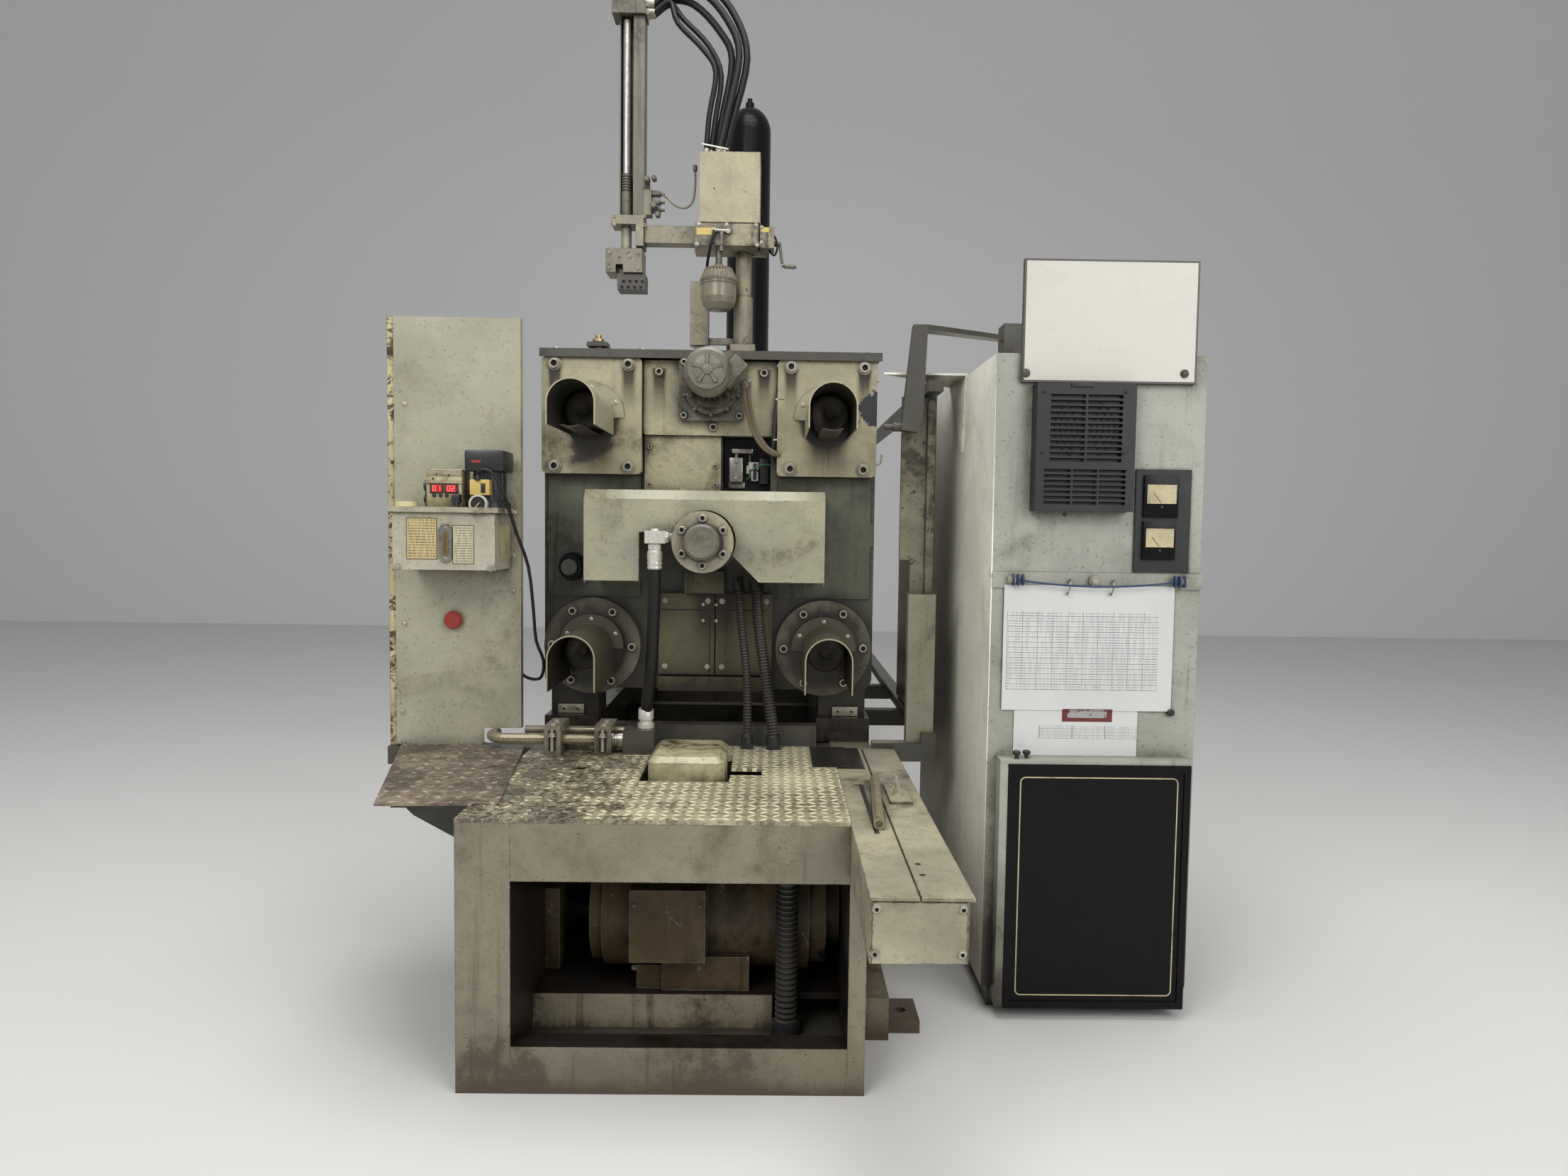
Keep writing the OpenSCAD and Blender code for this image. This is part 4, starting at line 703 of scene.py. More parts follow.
                # Valleys between the ribs near black: painted shade, with dirt.
                if rib and i % 4 == 1:
                    self.paint_groove_shade(slice(-n, None))
            else:
                self.bm.faces.new(ring[::-1])
            previous = ring
        self.bm.faces.new(previous)
        return self

    def sheet(self, outline, shift):
        """A flat plate: an outline of points and the vector of its thickness."""
        a = [self.bm.verts.new(Vector(p)) for p in outline]
        b = [self.bm.verts.new(Vector(p) + Vector(shift)) for p in outline]
        self.bm.faces.new(a[::-1])
        self.bm.faces.new(b)
        self.bridge(a, b)
        return self

    def fin(self, root, spoke, near, far, depth):
        """A plate that stands out along a spoke, with near and far as (distance, half its width)."""
        out, across = spoke
        quad = [root + out * d + across * w for d, w in ((near[0], -near[1]), (far[0], -far[1]), far, near)]
        return self.sheet(quad, (0, -depth, 0))

    def done(self, follow=None):
        """Closes the mesh. follow is (start, end) of a hose between the clamping unit and the base: such a
        piece goes on no body and gets its transform baked; the two points are not used."""
        bmesh.ops.recalc_face_normals(self.bm, faces=self.bm.faces)
        mesh = bpy.data.meshes.new(self.name)
        self.bm.to_mesh(mesh)
        self.bm.free()
        for polygon in mesh.polygons:
            polygon.use_smooth = True
        mesh.set_sharp_from_angle(angle=math.radians(SMOOTH_BELOW))
        mesh.materials.append(mat[self.material])
        mesh.materials.append(mat["groove_shade"])
        made = bpy.data.objects.new(self.name, mesh)
        bpy.context.collection.objects.link(made)
        if follow:
            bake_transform(made)
        else:
            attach(made, self.body)
        return made


def spokes(count, start=0.0):
    """(out, across) of evenly spaced spokes seen along Y, from the start angle in degrees."""
    for k in range(count):
        a = math.radians(start + 360 * k / count)
        yield Vector((math.cos(a), 0, math.sin(a))), Vector((-math.sin(a), 0, math.cos(a)))


def loop(centre, u, v, steps):
    """Points once round an ellipse whose half axes are u and v."""
    turns = [2 * math.pi * k / steps for k in range(steps + 1)]
    return [Vector(centre) + math.cos(a) * Vector(u) + math.sin(a) * Vector(v) for a in turns]


def grid(xs, zs):
    return [(x, z) for x in xs for z in zs]


def tilt(degrees):
    return Matrix.Rotation(math.radians(degrees), 3, "Y")


def rounded_outline(x0, x1, z0, z1, r, y, steps=5):
    """Corner points of a rounded rectangle that faces the viewer at y."""
    corners = ((x1 - r, z1 - r, 0), (x0 + r, z1 - r, 90), (x0 + r, z0 + r, 180), (x1 - r, z0 + r, 270))
    return [(cx + r * math.cos(math.radians(start + 90 * k / steps)), y,
        cz + r * math.sin(math.radians(start + 90 * k / steps))) for cx, cz,
        start in corners for k in range(steps + 1)]


# Cords and hoses: each is one tube along its route, drawn in the place of its plain CAD form

MAIN_HOSE_ROUTE = ((-0.132, -0.265, 1.119), (-0.132, -0.265, 1.099), (-0.134, -0.259, 0.999),
    (-0.14, -0.251, 0.859), (-0.152, -0.237, 0.749), (-0.158, -0.226, 0.6963), (-0.158, -0.226, 0.6663))
CONDUITS = (("conduit_left", 0.013, ((0.086, -0.076, 1.075), (0.1, -0.1, 0.945), (0.118, -0.15, 0.8),
    (0.122, -0.178, 0.64), (0.122, -0.178, 0.6003))), ("conduit_right", 0.017,
    ((0.14, -0.08, 1.075), (0.15, -0.104, 0.945), (0.172, -0.152, 0.8), (0.196, -0.182, 0.64),
    (0.196, -0.182, 0.6003))))
BAY_CONDUIT = ((0.232, -0.712, 0.5917), (0.232, -0.712, 0.45), (0.232, -0.712, 0.3), (0.232, -0.712, 0.15),
    (0.232, -0.712, 0.0453))


def draw_cord(name, material, points, r, rib=0.0, pitch=0.006, follow=None, node=None, steps=6,
        n=16):
    route = smooth_path(points, steps)
    made = Piece(name, "base", material).tube(route, r, n, rib, pitch).done(follow)
    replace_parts(made, node)


def hydraulic_hose():
    draw_cord("pressure_hose", "rubber", MAIN_HOSE_ROUTE, 0.017, node="main_hose", steps=5,
        follow=(MAIN_HOSE_ROUTE[1], MAIN_HOSE_ROUTE[-2]), n=20)
    upper = Piece("hose_ferrule_upper", "clamp_unit", "bright")
    upper.lathe(Vector(MAIN_HOSE_ROUTE[0]) - 0.012 * UP, UP, [(0, 0.0185), (0.004, 0.0205), (0.012, 0.019),
        (0.016, 0.0208), (0.024, 0.0192), (0.028, 0.0208), (0.048, 0.0205), (0.052, 0.016),
        (0.066, 0.016)]).done()
    lower = Piece("hose_ferrule_lower", "base", "bright")
    lower.lathe(MAIN_HOSE_ROUTE[-1], UP, [(0, 0.023), (0.012, 0.023), (0.013, 0.0185), (0.022, 0.0185),
        (0.024, 0.0215), (0.05, 0.021), (0.055, 0.0178)]).done()


def union_nut(piece, at, axis, r, nut, sleeve, last, n):
    """A hexagon nut with a round sleeve on a hose of radius r: (length, how far it stands out) of the
    nut and of the sleeve, and how far the sleeve's end stands out."""
    axis = Vector(axis)
    piece.lathe(at, axis, [(0, r + nut[1]), (nut[0], r + nut[1])], 6)
    piece.lathe(Vector(at) + nut[0] * axis, axis, [(0, r + sleeve[1]), (sleeve[0], r + sleeve[1]),
        (sleeve[0] + 0.004, r + last)], n)


def ribbed_conduits():
    for name, r, points in CONDUITS:
        draw_cord(name, "conduit", points, r, 0.0026, 0.0085, (points[0], points[-2]), "conduits")
    draw_cord("bay_conduit", "conduit", BAY_CONDUIT, 0.026, 0.0045, 0.0125, None, "conduits", n=24)
    ends = Piece("conduit_unions", "base", "black_plastic")
    for _, r, points in CONDUITS:
        union_nut(ends, points[-1], UP, r, (0.014, 0.007), (0.022, 0.004), 0.001, 20)
    union_nut(ends, BAY_CONDUIT[0], -UP, 0.026, (0.016, 0.01), (0.03, 0.005), 0.001, 24)
    ends.lathe(BAY_CONDUIT[-1], UP, [(0, 0.033), (0.03, 0.033), (0.034, 0.027)]).done()
    top = Piece("conduit_glands", "clamp_unit", "black_plastic")
    for _, r, points in CONDUITS:
        at = Vector(points[0])
        down = (Vector(points[1]) - at).normalized()
        union_nut(top, at - down * 0.004, down, r, (0.016, 0.007), (0.02, 0.004), 0.001, 20)
    top.done()


SPRAYER_Y, PLATE_Z = 1.965, 2.655


def sprayer_hose_routes():
    """The five hoses from the top of the junction box over to the side of the spray head's guide."""
    box_x, box_z, side_x = -0.151, 2.9673, -0.4407
    for k in range(5):
        inner = k < 2
        y = SPRAYER_Y - 0.07 + 0.028 * (k % 3)
        out = -0.11 + 0.024 * k if inner else -0.036 + 0.036 * (k - 2)
        top = 2.614 + (0.97 + 0.03 * k if inner else 1.08 + 0.03 * (k - 2))
        end_z = 2.614 + (1.03 if inner else 1.064)
        end_y = SPRAYER_Y + (-0.04, -0.004, 0.022, -0.05, -0.014)[k]
        curve = smooth_path(((box_x + 0.02 * k, y, box_z + 0.03), (box_x + 0.012 + 0.028 * k, y,
            box_z + 0.19), (out, y, box_z + (0.39 if inner else 0.47)), (out - 0.06, y + 0.004, top - 0.12),
            (out - 0.18, y + 0.006, top), (side_x + 0.11, end_y, end_z + 0.05),
            (side_x + 0.034, end_y, end_z)), 4)
        yield inner, [Vector((box_x + 0.02 * k, y, box_z)), *curve, Vector((side_x, end_y, end_z))]


def sprayer_hoses():
    for k, (inner, route) in enumerate(sprayer_hose_routes()):
        r = 0.013 if inner else 0.017
        made = Piece("sprayer_hose_%d" % (k + 1), "base", "rubber").tube(route, r).done()
        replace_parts(made, "sprayer_hoses")
    fittings = Piece("sprayer_hose_fittings", "base", "bolt")
    for inner, route in sprayer_hose_routes():
        r = 0.013 if inner else 0.017
        for at, axis in ((route[0], UP), (route[-1], Vector((1, 0, 0)))):
            fittings.lathe(at, axis, [(0, r + 0.004), (0.012, r + 0.004)], 6)
            fittings.lathe(at + 0.012 * axis, axis, [(0, r + 0.003), (0.024, r + 0.002),
                (0.027, r + 0.0008)], 18)
    fittings.done()


hydraulic_hose()
ribbed_conduits()
sprayer_hoses()


# Materials of the CAD nodes, with softened edges

NODES_IN = {
    "bed": "bed_left_beam bed_right_beam front_header front_sill",
    "dark_iron": "bed_cross_members side_stand housing_lid shot_cylinder cabinet_arm door_track",
    "rails": "slide_rails",
    "deck": "deck_plate",
    "side_deck": "side_deck",
    "cap": "deck_cap",
    "trough": "cable_trough",
    "bay_motor": "pump_motor hydraulic_pump",
    "bracket": "motor_bracket",
    "housing": "link_housing",
    "plates": "upper_nut_housings center_plate moving_platen fixed_platen shot_frame",
    "flange": "lower_nut_flanges",
    "lower": "inspection_cover",
    "hood_top": "guard_upper_left guard_upper_right",
    "hood_low": "guard_lower_left guard_lower_right",
    "steel": "tie_bar_upper_left tie_bar_upper_right tie_bar_lower_left tie_bar_lower_right toggle_links",
    "cylinder": "clamp_cylinder",
    "cover": "cylinder_cover",
    "motor": "adjust_motor",
    "black": "gas_bottle breaker_box",
    "rubber": "main_hose sprayer_hoses",
    "conduit": "conduits",
    "pipe": "feed_pipes",
    "panel": "side_panel",
    "tank": "lubricator_tank",
    "black_plastic": "lubricator_pump",
    "cabinet": "control_cabinet",
    "vent": "cabinet_cooler",
    "sign": "sign_board",
    "paper": "notice_sheets",
    "door": "guard_door",
    "sprayer": "sprayer_column sprayer_arm spray_head",
    "spray_box": "sprayer_box",
}
ROUNDED = {"deck_cap": 0.01}
SHARP = {*NODES_IN["hood_top"].split(), *NODES_IN["hood_low"].split(), "notice_sheets", "cylinder_cover",
    "side_panel", "cabinet_cooler"}


# Faces inside the link housing's recess, which get the near-black painted shade.
def in_recess(c):
    return 0.03 < c.x < 0.185 and 1.305 < c.z < 1.495 and c.y > 0.004


MOTOR_SHELF_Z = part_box("motor_bracket")[1][2]
SILL_INSIDE_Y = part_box("front_sill")[0][1] + 0.01
BAY_INSIDE_Y = -0.89
FACE_PAINT = {
    # Recess of the link housing: painted shade.
    "link_housing": (("inside_shade", in_recess),),
    "lubricator_tank": (("cap_cream", lambda c: c.x < -0.74 and c.z > 1.2605),),
    "inspection_cover": (("black", lambda c: c.y < -0.009 and c.x < -0.355 and c.z > 1.05),
            ("housing", lambda c: c.y > -0.009 and abs(c.x) > 0.2)),
    # Top and side of the motor shelf: painted shade.
    "motor_bracket": (("inside_shade", lambda c: c.z > MOTOR_SHELF_Z - 0.001 or c.x > 0.199),),
    "spray_head": (("chrome", lambda c: c.z > ARM_Z + 0.1), ("dark_iron", lambda c: c.z < ARM_Z - 0.188),
            ("cylinder", lambda c: ARM_Z - 0.07 < c.z < ARM_Z + 0.1)),
    "sprayer_arm": (("filter", lambda c: -0.175 < c.x < 0.005 and c.z < ARM_Z - 0.077),
            # Part of the guide in the darker paint: painted shade.
            ("sprayer_dark", lambda c: c.x < -0.4465 and c.z > ARM_Z + 0.0845),),
    "clamp_cylinder": (("bright", lambda c: c.x < -0.095),),
    "side_panel": (("panel_edge", lambda c: c.x < -0.8585),),
    # Inner faces of the bed's beams, header and sill: painted shade.
    "bed_left_beam": (("inside_shade", lambda c: c.x > -0.4005 and c.y > BAY_INSIDE_Y),),
    "bed_right_beam": (("inside_shade", lambda c: c.x < 0.4005 and c.y > BAY_INSIDE_Y),),
    "front_header": (("inside_shade", lambda c: c.y > BAY_INSIDE_Y),),
    "front_sill": (("inside_shade", lambda c: c.y > SILL_INSIDE_Y),),
    "door_track": (("channel", lambda c: c.x < 0.6562 and -0.1345 < c.y < -0.0935 and c.z < 1.045),),
    # The cabinet's side in the lighter paint: painted light.
    "control_cabinet": (("cabinet_side_lit", lambda c: c.x < 0.7365 or c.y > 0),),
    "feed_pipes": (("clamp_steel", lambda c: -0.4285 < c.x < -0.3815 or -0.2915 < c.x < -0.2445),
            ("dark_iron", lambda c: c.x > -0.2155)),
}
for bar in ("upper_left", "upper_right", "lower_left", "lower_right"):
    FACE_PAINT["tie_bar_" + bar] = (("bar_end", lambda c: c.y < 0.05),)


def dress_nodes():
    material_of = {name: mat[key] for key, names in NODES_IN.items() for name in names.split()}
    for name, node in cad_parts.items():
        node.data.materials.clear()
        node.data.materials.append(material_of[name])
        for polygon in node.data.polygons:
            polygon.material_index = 0
            polygon.use_smooth = True
        node.data.set_sharp_from_angle(angle=math.radians(30))
        for slot, (material, test) in enumerate(FACE_PAINT.get(name, ()), 1):
            node.data.materials.append(mat[material])
            for polygon in node.data.polygons:
                if test(polygon.center):
                    polygon.material_index = slot
        soften = node.modifiers.new("edges", "BEVEL")
        soften.width = 0.0007 if name in SHARP else ROUNDED.get(name, 0.0024)
        soften.segments = 4 if name in ROUNDED else 2
        soften.limit_method = "ANGLE"
        soften.angle_limit = math.radians(40)
        soften.harden_normals = True


dress_nodes()


# Clamp unit: screws, bar ends, motor, leads, small things on the plates, and the cylinder

LID_TOP_Z = 1.729
GUARD_ROOTS_Y = {True: -0.06, False: -0.054}
BAR_END_REACH = 0.12
NUT_FACE_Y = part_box("upper_nut_housings")[0][1]
PLATE_FACE_Y, COVER_FACE_Y, RECESS_RIM_Y = -0.04, -0.03, -0.024
MOTOR_X, MOTOR_Z, MOTOR_FOOT_Z = 0.006, 1.645, 1.619
CYLINDER_Z = 1.183


def housing_screws():
    screws = Piece("nut_housing_screws", "clamp_unit", "bolt")
    for x, z in UPPER_BARS:
        corners = grid((x - 0.106, x + 0.106), (z - 0.146, z + 0.146))
        screws.facing(Piece.lathe, NUT_FACE_Y, corners, [(0, 0.0195), (0.0025, 0.019)], 24)
        screws.facing(Piece.socket_screw, NUT_FACE_Y, corners, 0.0152, 0.015)
    for x, z in LOWER_BARS:
        for out, _ in spokes(6, math.copysign(1, x)):
            screws.socket_screw(Vector((x, PLATE_FACE_Y, z)) + 0.117 * out, FRONT, 0.0125, 0.013)
    screws.facing(Piece.socket_screw, PLATE_FACE_Y, ((-0.148, 1.67), (0.156, 1.67), (0.01, 1.512)), 0.012,
        0.012)
    screws.facing(Piece.socket_screw, RECESS_RIM_Y, ((-0.176, 1.345), (-0.176, 1.455), (0.016, 1.345),
        (0.016, 1.4)), 0.0065).done()
    small = Piece("cover_screws", "clamp_unit", "bolt")
    for x, z in BARS:
        for a in (math.radians(degrees) for degrees in (28, 90, 152)):
            at = (x + 0.08 * math.cos(a), GUARD_ROOTS_Y[z > AXIS_Z] - 0.004, z + 0.08 * math.sin(a))
            small.pan_screw(at, FRONT, 0.0065)
    small.facing(Piece.hex_screw, COVER_FACE_Y, grid((-0.128, -0.002, 0.04, 0.17), (0.81, 1.005)), 0.0065)
    small.facing(Piece.pan_screw, COVER_FACE_Y, grid((-0.016, 0.023), (0.946, 0.994)), 0.005)
    for x in (-0.45, -0.2, 0.2, 0.45):
        small.hex_screw((x, -0.03, LID_TOP_Z), UP, 0.01)
    small.done()


def bar_ends():
    ends = Piece("tie_bar_faces", "base", "bar_end")
    for x, z in BARS:
        ends.lathe((x, GUARD_ROOTS_Y[z > AXIS_Z] - BAR_END_REACH, z), FRONT,
            [(0, 0.05), (0.003, 0.048), (0.003, 0.016), (0.001, 0.012), (0.001, 0.006)], 40)
    ends.done()


def die_height_motor():
    x, z = MOTOR_X, MOTOR_Z
    body = Piece("motor_cowl", "clamp_unit", "motor")
    for spoke in spokes(28):
        body.fin(Vector((x, -0.145, z)), spoke, (0.06, 0.0016), (0.069, 0.0016), 0.055)
    body.lathe((x, -0.2, z), FRONT, [(0, 0.061), (0.002, 0.0675), (0.03, 0.0675), (0.038, 0.064),
        (0.046, 0.052), (0.048, 0.047), (0.06, 0.045), (0.068, 0.04), (0.072, 0.03), (0.073, 0.012)], 48)
    for spoke in spokes(5, 90):
        body.fin(Vector((x, -0.269, z)), spoke, (0.012, 0.003), (0.041, 0.0045), 0.006)
    body.lathe((x, -0.268, z), FRONT, [(0, 0.015), (0.008, 0.014), (0.01, 0.01)], 24)
    for out, _ in spokes(4, 45):
        at = Vector((x, 0, z)) + 0.072 * out
        body.rod(at + Vector((0, -0.136, -0.006)), at + Vector((0, -0.202, 0)), 0.0045, 8)
    body.done()
    gear = Piece("gear_case_ribs", "clamp_unit", "motor")
    for spoke in spokes(10, 18):
        gear.fin(Vector((x, -0.066, z - 0.022)), spoke, (0.07, 0.004), (0.084, 0.004), 0.038)
    gear.done()
    screws = Piece("motor_screws", "clamp_unit", "bolt")
    screws.facing(Piece.socket_screw, -0.066, grid((x - 0.08, x + 0.08),
        (MOTOR_FOOT_Z - 0.076, MOTOR_FOOT_Z + 0.076)), 0.0095, 0.01)
    for out, _ in spokes(8, 22):
        screws.socket_screw(Vector((x, -0.1, MOTOR_FOOT_Z + 0.004)) + 0.068 * out, FRONT, 0.0046, 0.005)
    screws.done()
    box = Piece("motor_terminal_box", "clamp_unit", "motor")
    box.box((0.05, -0.238, 1.615), (0.098, -0.142, 1.699), 0.006, tilt(40), Vector((0.058, -0.19, 1.657)))
    box.rod((0.098, -0.19, 1.625), (0.112, -0.19, 1.606), 0.013, 16, 0.002).done()
    lead = Piece("motor_lead", "clamp_unit", "beige")
    for shift in (0.0, 0.011):
        lead.hose([(0.106 + shift, -0.185, 1.628), (0.104 + shift, -0.15, 1.59),
            (0.112 + shift, -0.105, 1.545), (0.128 + shift, -0.085, 1.495), (0.155 + shift, -0.075, 1.455),
            (0.186 + shift, -0.066, 1.436), (0.205, -0.045, 1.434)], 0.0062, 6)
    lead.done()


def recess_switch():
    """The limit switch, its socket and green wire in the recess of the housing."""
    body = Piece("limit_switch", "clamp_unit", "steel")
    body.box((0.054, 0.03, 1.358), (0.095, 0.11, 1.431), 0.003)
    body.box((0.062, 0.024, 1.443), (0.126, 0.06, 1.457), 0.004)
    body.box((0.05, 0.08, 1.34), (0.1, 0.109, 1.36), 0.002)
    body.rod((0.075, 0.045, 1.428), (0.075, 0.045, 1.446), 0.009)
    body.rod((0.116, 0.034, 1.378), (0.116, 0.034, 1.44), 0.0022, 8)
    body.facing(Piece.pan_screw, 0.03, ((0.0745, 1.368), (0.0745, 1.421)), 0.004).done()
    socket = Piece("switch_socket", "clamp_unit", "white")
    socket.box((0.112, 0.03, 1.396), (0.142, 0.075, 1.418), 0.002)
    socket.box((0.12, 0.028, 1.362), (0.141, 0.07, 1.392), 0.003)
    socket.rod((0.11, 0.04, 1.408), (0.11, 0.04, 1.384), 0.0045, 10).done()
    core = Piece("switch_plug", "clamp_unit", "black_plastic")
    core.box((0.126, 0.024, 1.366), (0.136, 0.029, 1.414), 0.001)
    core.box((0.144, 0.04, 1.352), (0.172, 0.1, 1.43), 0.004).done()
    wire = Piece("switch_wire", "clamp_unit", "green")
    wire.hose([(0.106, 0.028, 1.366), (0.114, 0.016, 1.372), (0.124, 0.01, 1.394), (0.148, 0.008, 1.408),
        (0.172, 0.012, 1.41), (0.186, 0.02, 1.398), (0.188, 0.06, 1.392)], 0.0022, 5, 8).done()


def cable_bundle():
    """The leads tied together beside the right nut housing, and the two drip pipes."""
    leads = Piece("tied_leads", "clamp_unit", "conduit")
    for shift, r in ((0.0, 0.0068), (0.0145, 0.0058)):
        leads.hose([(0.207 + 0.5 * shift, -0.045, 1.7), (0.202 + shift, -0.052, 1.664),
            (0.196 + shift, -0.052, 1.602), (0.19 + shift, -0.052, 1.541), (0.186 + shift, -0.05, 1.47),
            (0.186 + shift, -0.03, 1.44), (0.19 + shift, 0, 1.425)], r, 4, 12)
    leads.done()
    ties = Piece("cable_ties", "clamp_unit", "white")
    for x, z in ((0.2045, 1.69), (0.2015, 1.594), (0.1965, 1.478)):
        ties.box((x - 0.011, -0.06, z - 0.0022), (x + 0.015, -0.041, z + 0.0022), 0.001)
    ties.done()
    drips = Piece("drip_pipes", "clamp_unit", "bolt")
    drips.hose([(-0.37, -0.052, 1.492), (-0.37, -0.048, 1.451), (-0.362, -0.046, 1.412),
        (-0.36, -0.044, 1.384)], 0.0026, 5, 8)
    drips.hose([(0.384, -0.054, 1.5), (0.378, -0.048, 1.455), (0.386, -0.048, 1.424),
        (0.432, -0.048, 1.411), (0.488, -0.048, 1.411), (0.499, -0.048, 1.422), (0.501, -0.044, 1.44)],
        0.003, 5, 8).done()


def plate_details():
    """Dark seams, near-black discs as painted shade in empty holes, the foot plates and the plug on the
    lid.
    """
    dark = Piece("plate_hole_shade_and_seams", "clamp_unit", "groove_shade")
    # Near-black discs in empty holes: painted shade; thin dark seams on the cover.
    for x, z, r in ((0.262, 1.492, 0.004), (0.243, 1.545, 0.003), (0.262, 1.395, 0.003),
            (-0.262, 1.51, 0.004), (-0.262, 1.56, 0.003), (-0.338, 1.725, 0.003), (0.485, 1.65, 0.003)):
        dark.rod((x, -0.0446, z), (x, -0.0452, z), r, 12)
    for x0, z0, x1, z1 in ((-0.141, 0.9772, 0.168, 0.98), (0.003, 0.79, 0.005, 0.9772)):
        dark.box((x0, COVER_FACE_Y - 0.0012, z0), (x1, COVER_FACE_Y + 0.0002, z1))
    for x in (-0.045, 0.085):
        dark.rod((x, -0.0296, 0.763), (x, -0.0306, 0.763), 0.007, 14)
    dark.done()
    Piece("centre_box", "clamp_unit", "lower").box((-0.07, -0.05, 1.028), (0.048, 0, 1.096), 0.002).done()
    feet = Piece("foot_plates", "clamp_unit", "bolt")
    for x0, x1 in ((-0.448, -0.371), (0.371, 0.448)):
        feet.box((x0, -0.006, 0.663), (x1, 0.001, 0.69), 0.0015)
        feet.facing(Piece.socket_screw, -0.006, ((x0 + 0.018, 0.6765), (x1 - 0.018, 0.6765)), 0.0065, 0.003)
    feet.done()
    boss = Piece("housing_plug_boss", "clamp_unit", "dark_iron")
    boss.lathe((-0.402, -0.061, 1.101), FRONT, [(0, 0.024), (0.01, 0.024), (0.013, 0.021)]).done()
    plug = Piece("lid_plug", "clamp_unit", "brass")
    plug.lathe((-0.329, -0.012, LID_TOP_Z), UP, [(0, 0.02), (0.006, 0.02), (0.008, 0.013), (0.022, 0.013),
        (0.023, 0.017), (0.036, 0.017), (0.04, 0.009), (0.048, 0.009), (0.05, 0.005)], 20)
    plug.rod((-0.352, -0.012, 1.74), (-0.306, -0.012, 1.74), 0.0042, 12).done()
    scratches = Piece("cover_scratches", "clamp_unit", "dark_iron")
    cover_y = -0.1262
    for x0, z0, x1, z1 in ((0.206, 1.127, 0.24, 1.117), (0.222, 1.131, 0.258, 1.12),
            (0.288, 1.153, 0.281, 1.118), (0.302, 1.146, 0.288, 1.084), (0.309, 1.112, 0.303, 1.082)):
        a, b = Vector((x0, cover_y, z0)), Vector((x1, cover_y, z1))
        across = (a - b).cross(FRONT).normalized() * 0.0016
        scratches.sheet([a, (a + b) / 2 - across, b, (a + b) / 2 + across], (0, -0.0002, 0))
    scratches.done()


def clamp_cylinder_details():
    """The screws and hub on the cylinder's flange, and the hose's elbow."""
    screws = Piece("cylinder_flange_screws", "clamp_unit", "bolt")
    for out, _ in spokes(6, 90):
        at = Vector((0, -0.31, CYLINDER_Z)) + 0.063 * out
        screws.lathe(at, FRONT, [(0, 0.0125), (0.002, 0.012)], 18).socket_screw(at, FRONT, 0.0103, 0.011)
    screws.done()
    hub = Piece("cylinder_hub", "clamp_unit", "motor")
    hub.lathe((0, -0.309, CYLINDER_Z), FRONT, [(0, 0.0575), (0.003, 0.055), (0.004, 0.0475),
        (0.044, 0.0475), (0.051, 0.041), (0.052, 0.008)], 48).done()
    elbow = Piece("hose_elbow", "clamp_unit", "bright")
    top = Vector((-0.132, -0.265, 1.199))
    elbow.lathe(top + Vector((0.026, 0, -0.005)), (1, 0, 0), [(0, 0.017), (0.01, 0.017), (0.013, 0.014)], 6)
    elbow.lathe(top - 0.024 * UP, -UP, [(0, 0.019), (0.014, 0.019), (0.016, 0.0165)], 6)
    elbow.lathe(top + 0.012 * UP, UP, [(0, 0.012), (0.006, 0.011)], 20).done()


housing_screws()
bar_ends()
die_height_motor()
recess_switch()
cable_bundle()
plate_details()
clamp_cylinder_details()


# Sprayer on the fixed platen

BOX_FACE_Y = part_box("sprayer_box")[0][1]
CRANK_Y = 1.86


def sprayer_fasteners():
    screws = Piece("sprayer_screws", "base", "bolt")
    high, low = ARM_Z + 0.019, ARM_Z - 0.072
    screws.facing(Piece.hex_screw, BOX_FACE_Y, ((-0.176, high), (-0.048, high), (0.09, high), (0.096, low),
        (-0.186, low)), 0.0075)
    screws.facing(Piece.socket_screw, SPRAYER_Y - 0.06, grid((-0.585, -0.442),
        (PLATE_Z - 0.005, PLATE_Z + 0.035)), 0.007)
    screws.facing(Piece.hex_screw, BOX_FACE_Y, ((0.116, ARM_Z - 0.06), (0.116, ARM_Z + 0.01)), 0.007).done()
    labels = Piece("sprayer_labels", "base", "yellow")
    labels.box((-0.188, BOX_FACE_Y - 0.0008, 2.585), (-0.104, BOX_FACE_Y, 2.618))
    labels.box((0.112, BOX_FACE_Y - 0.0008, 2.602), (0.151, BOX_FACE_Y, 2.623)).done()
    bright = Piece("spray_head_screws", "spray_head", "bolt")
    bright.facing(Piece.socket_screw, SPRAYER_Y - 0.07, (*grid((-0.606, -0.47), (2.518, 2.446)),
        (-0.56, 2.5), (-0.51, 2.5)), 0.0065).done()


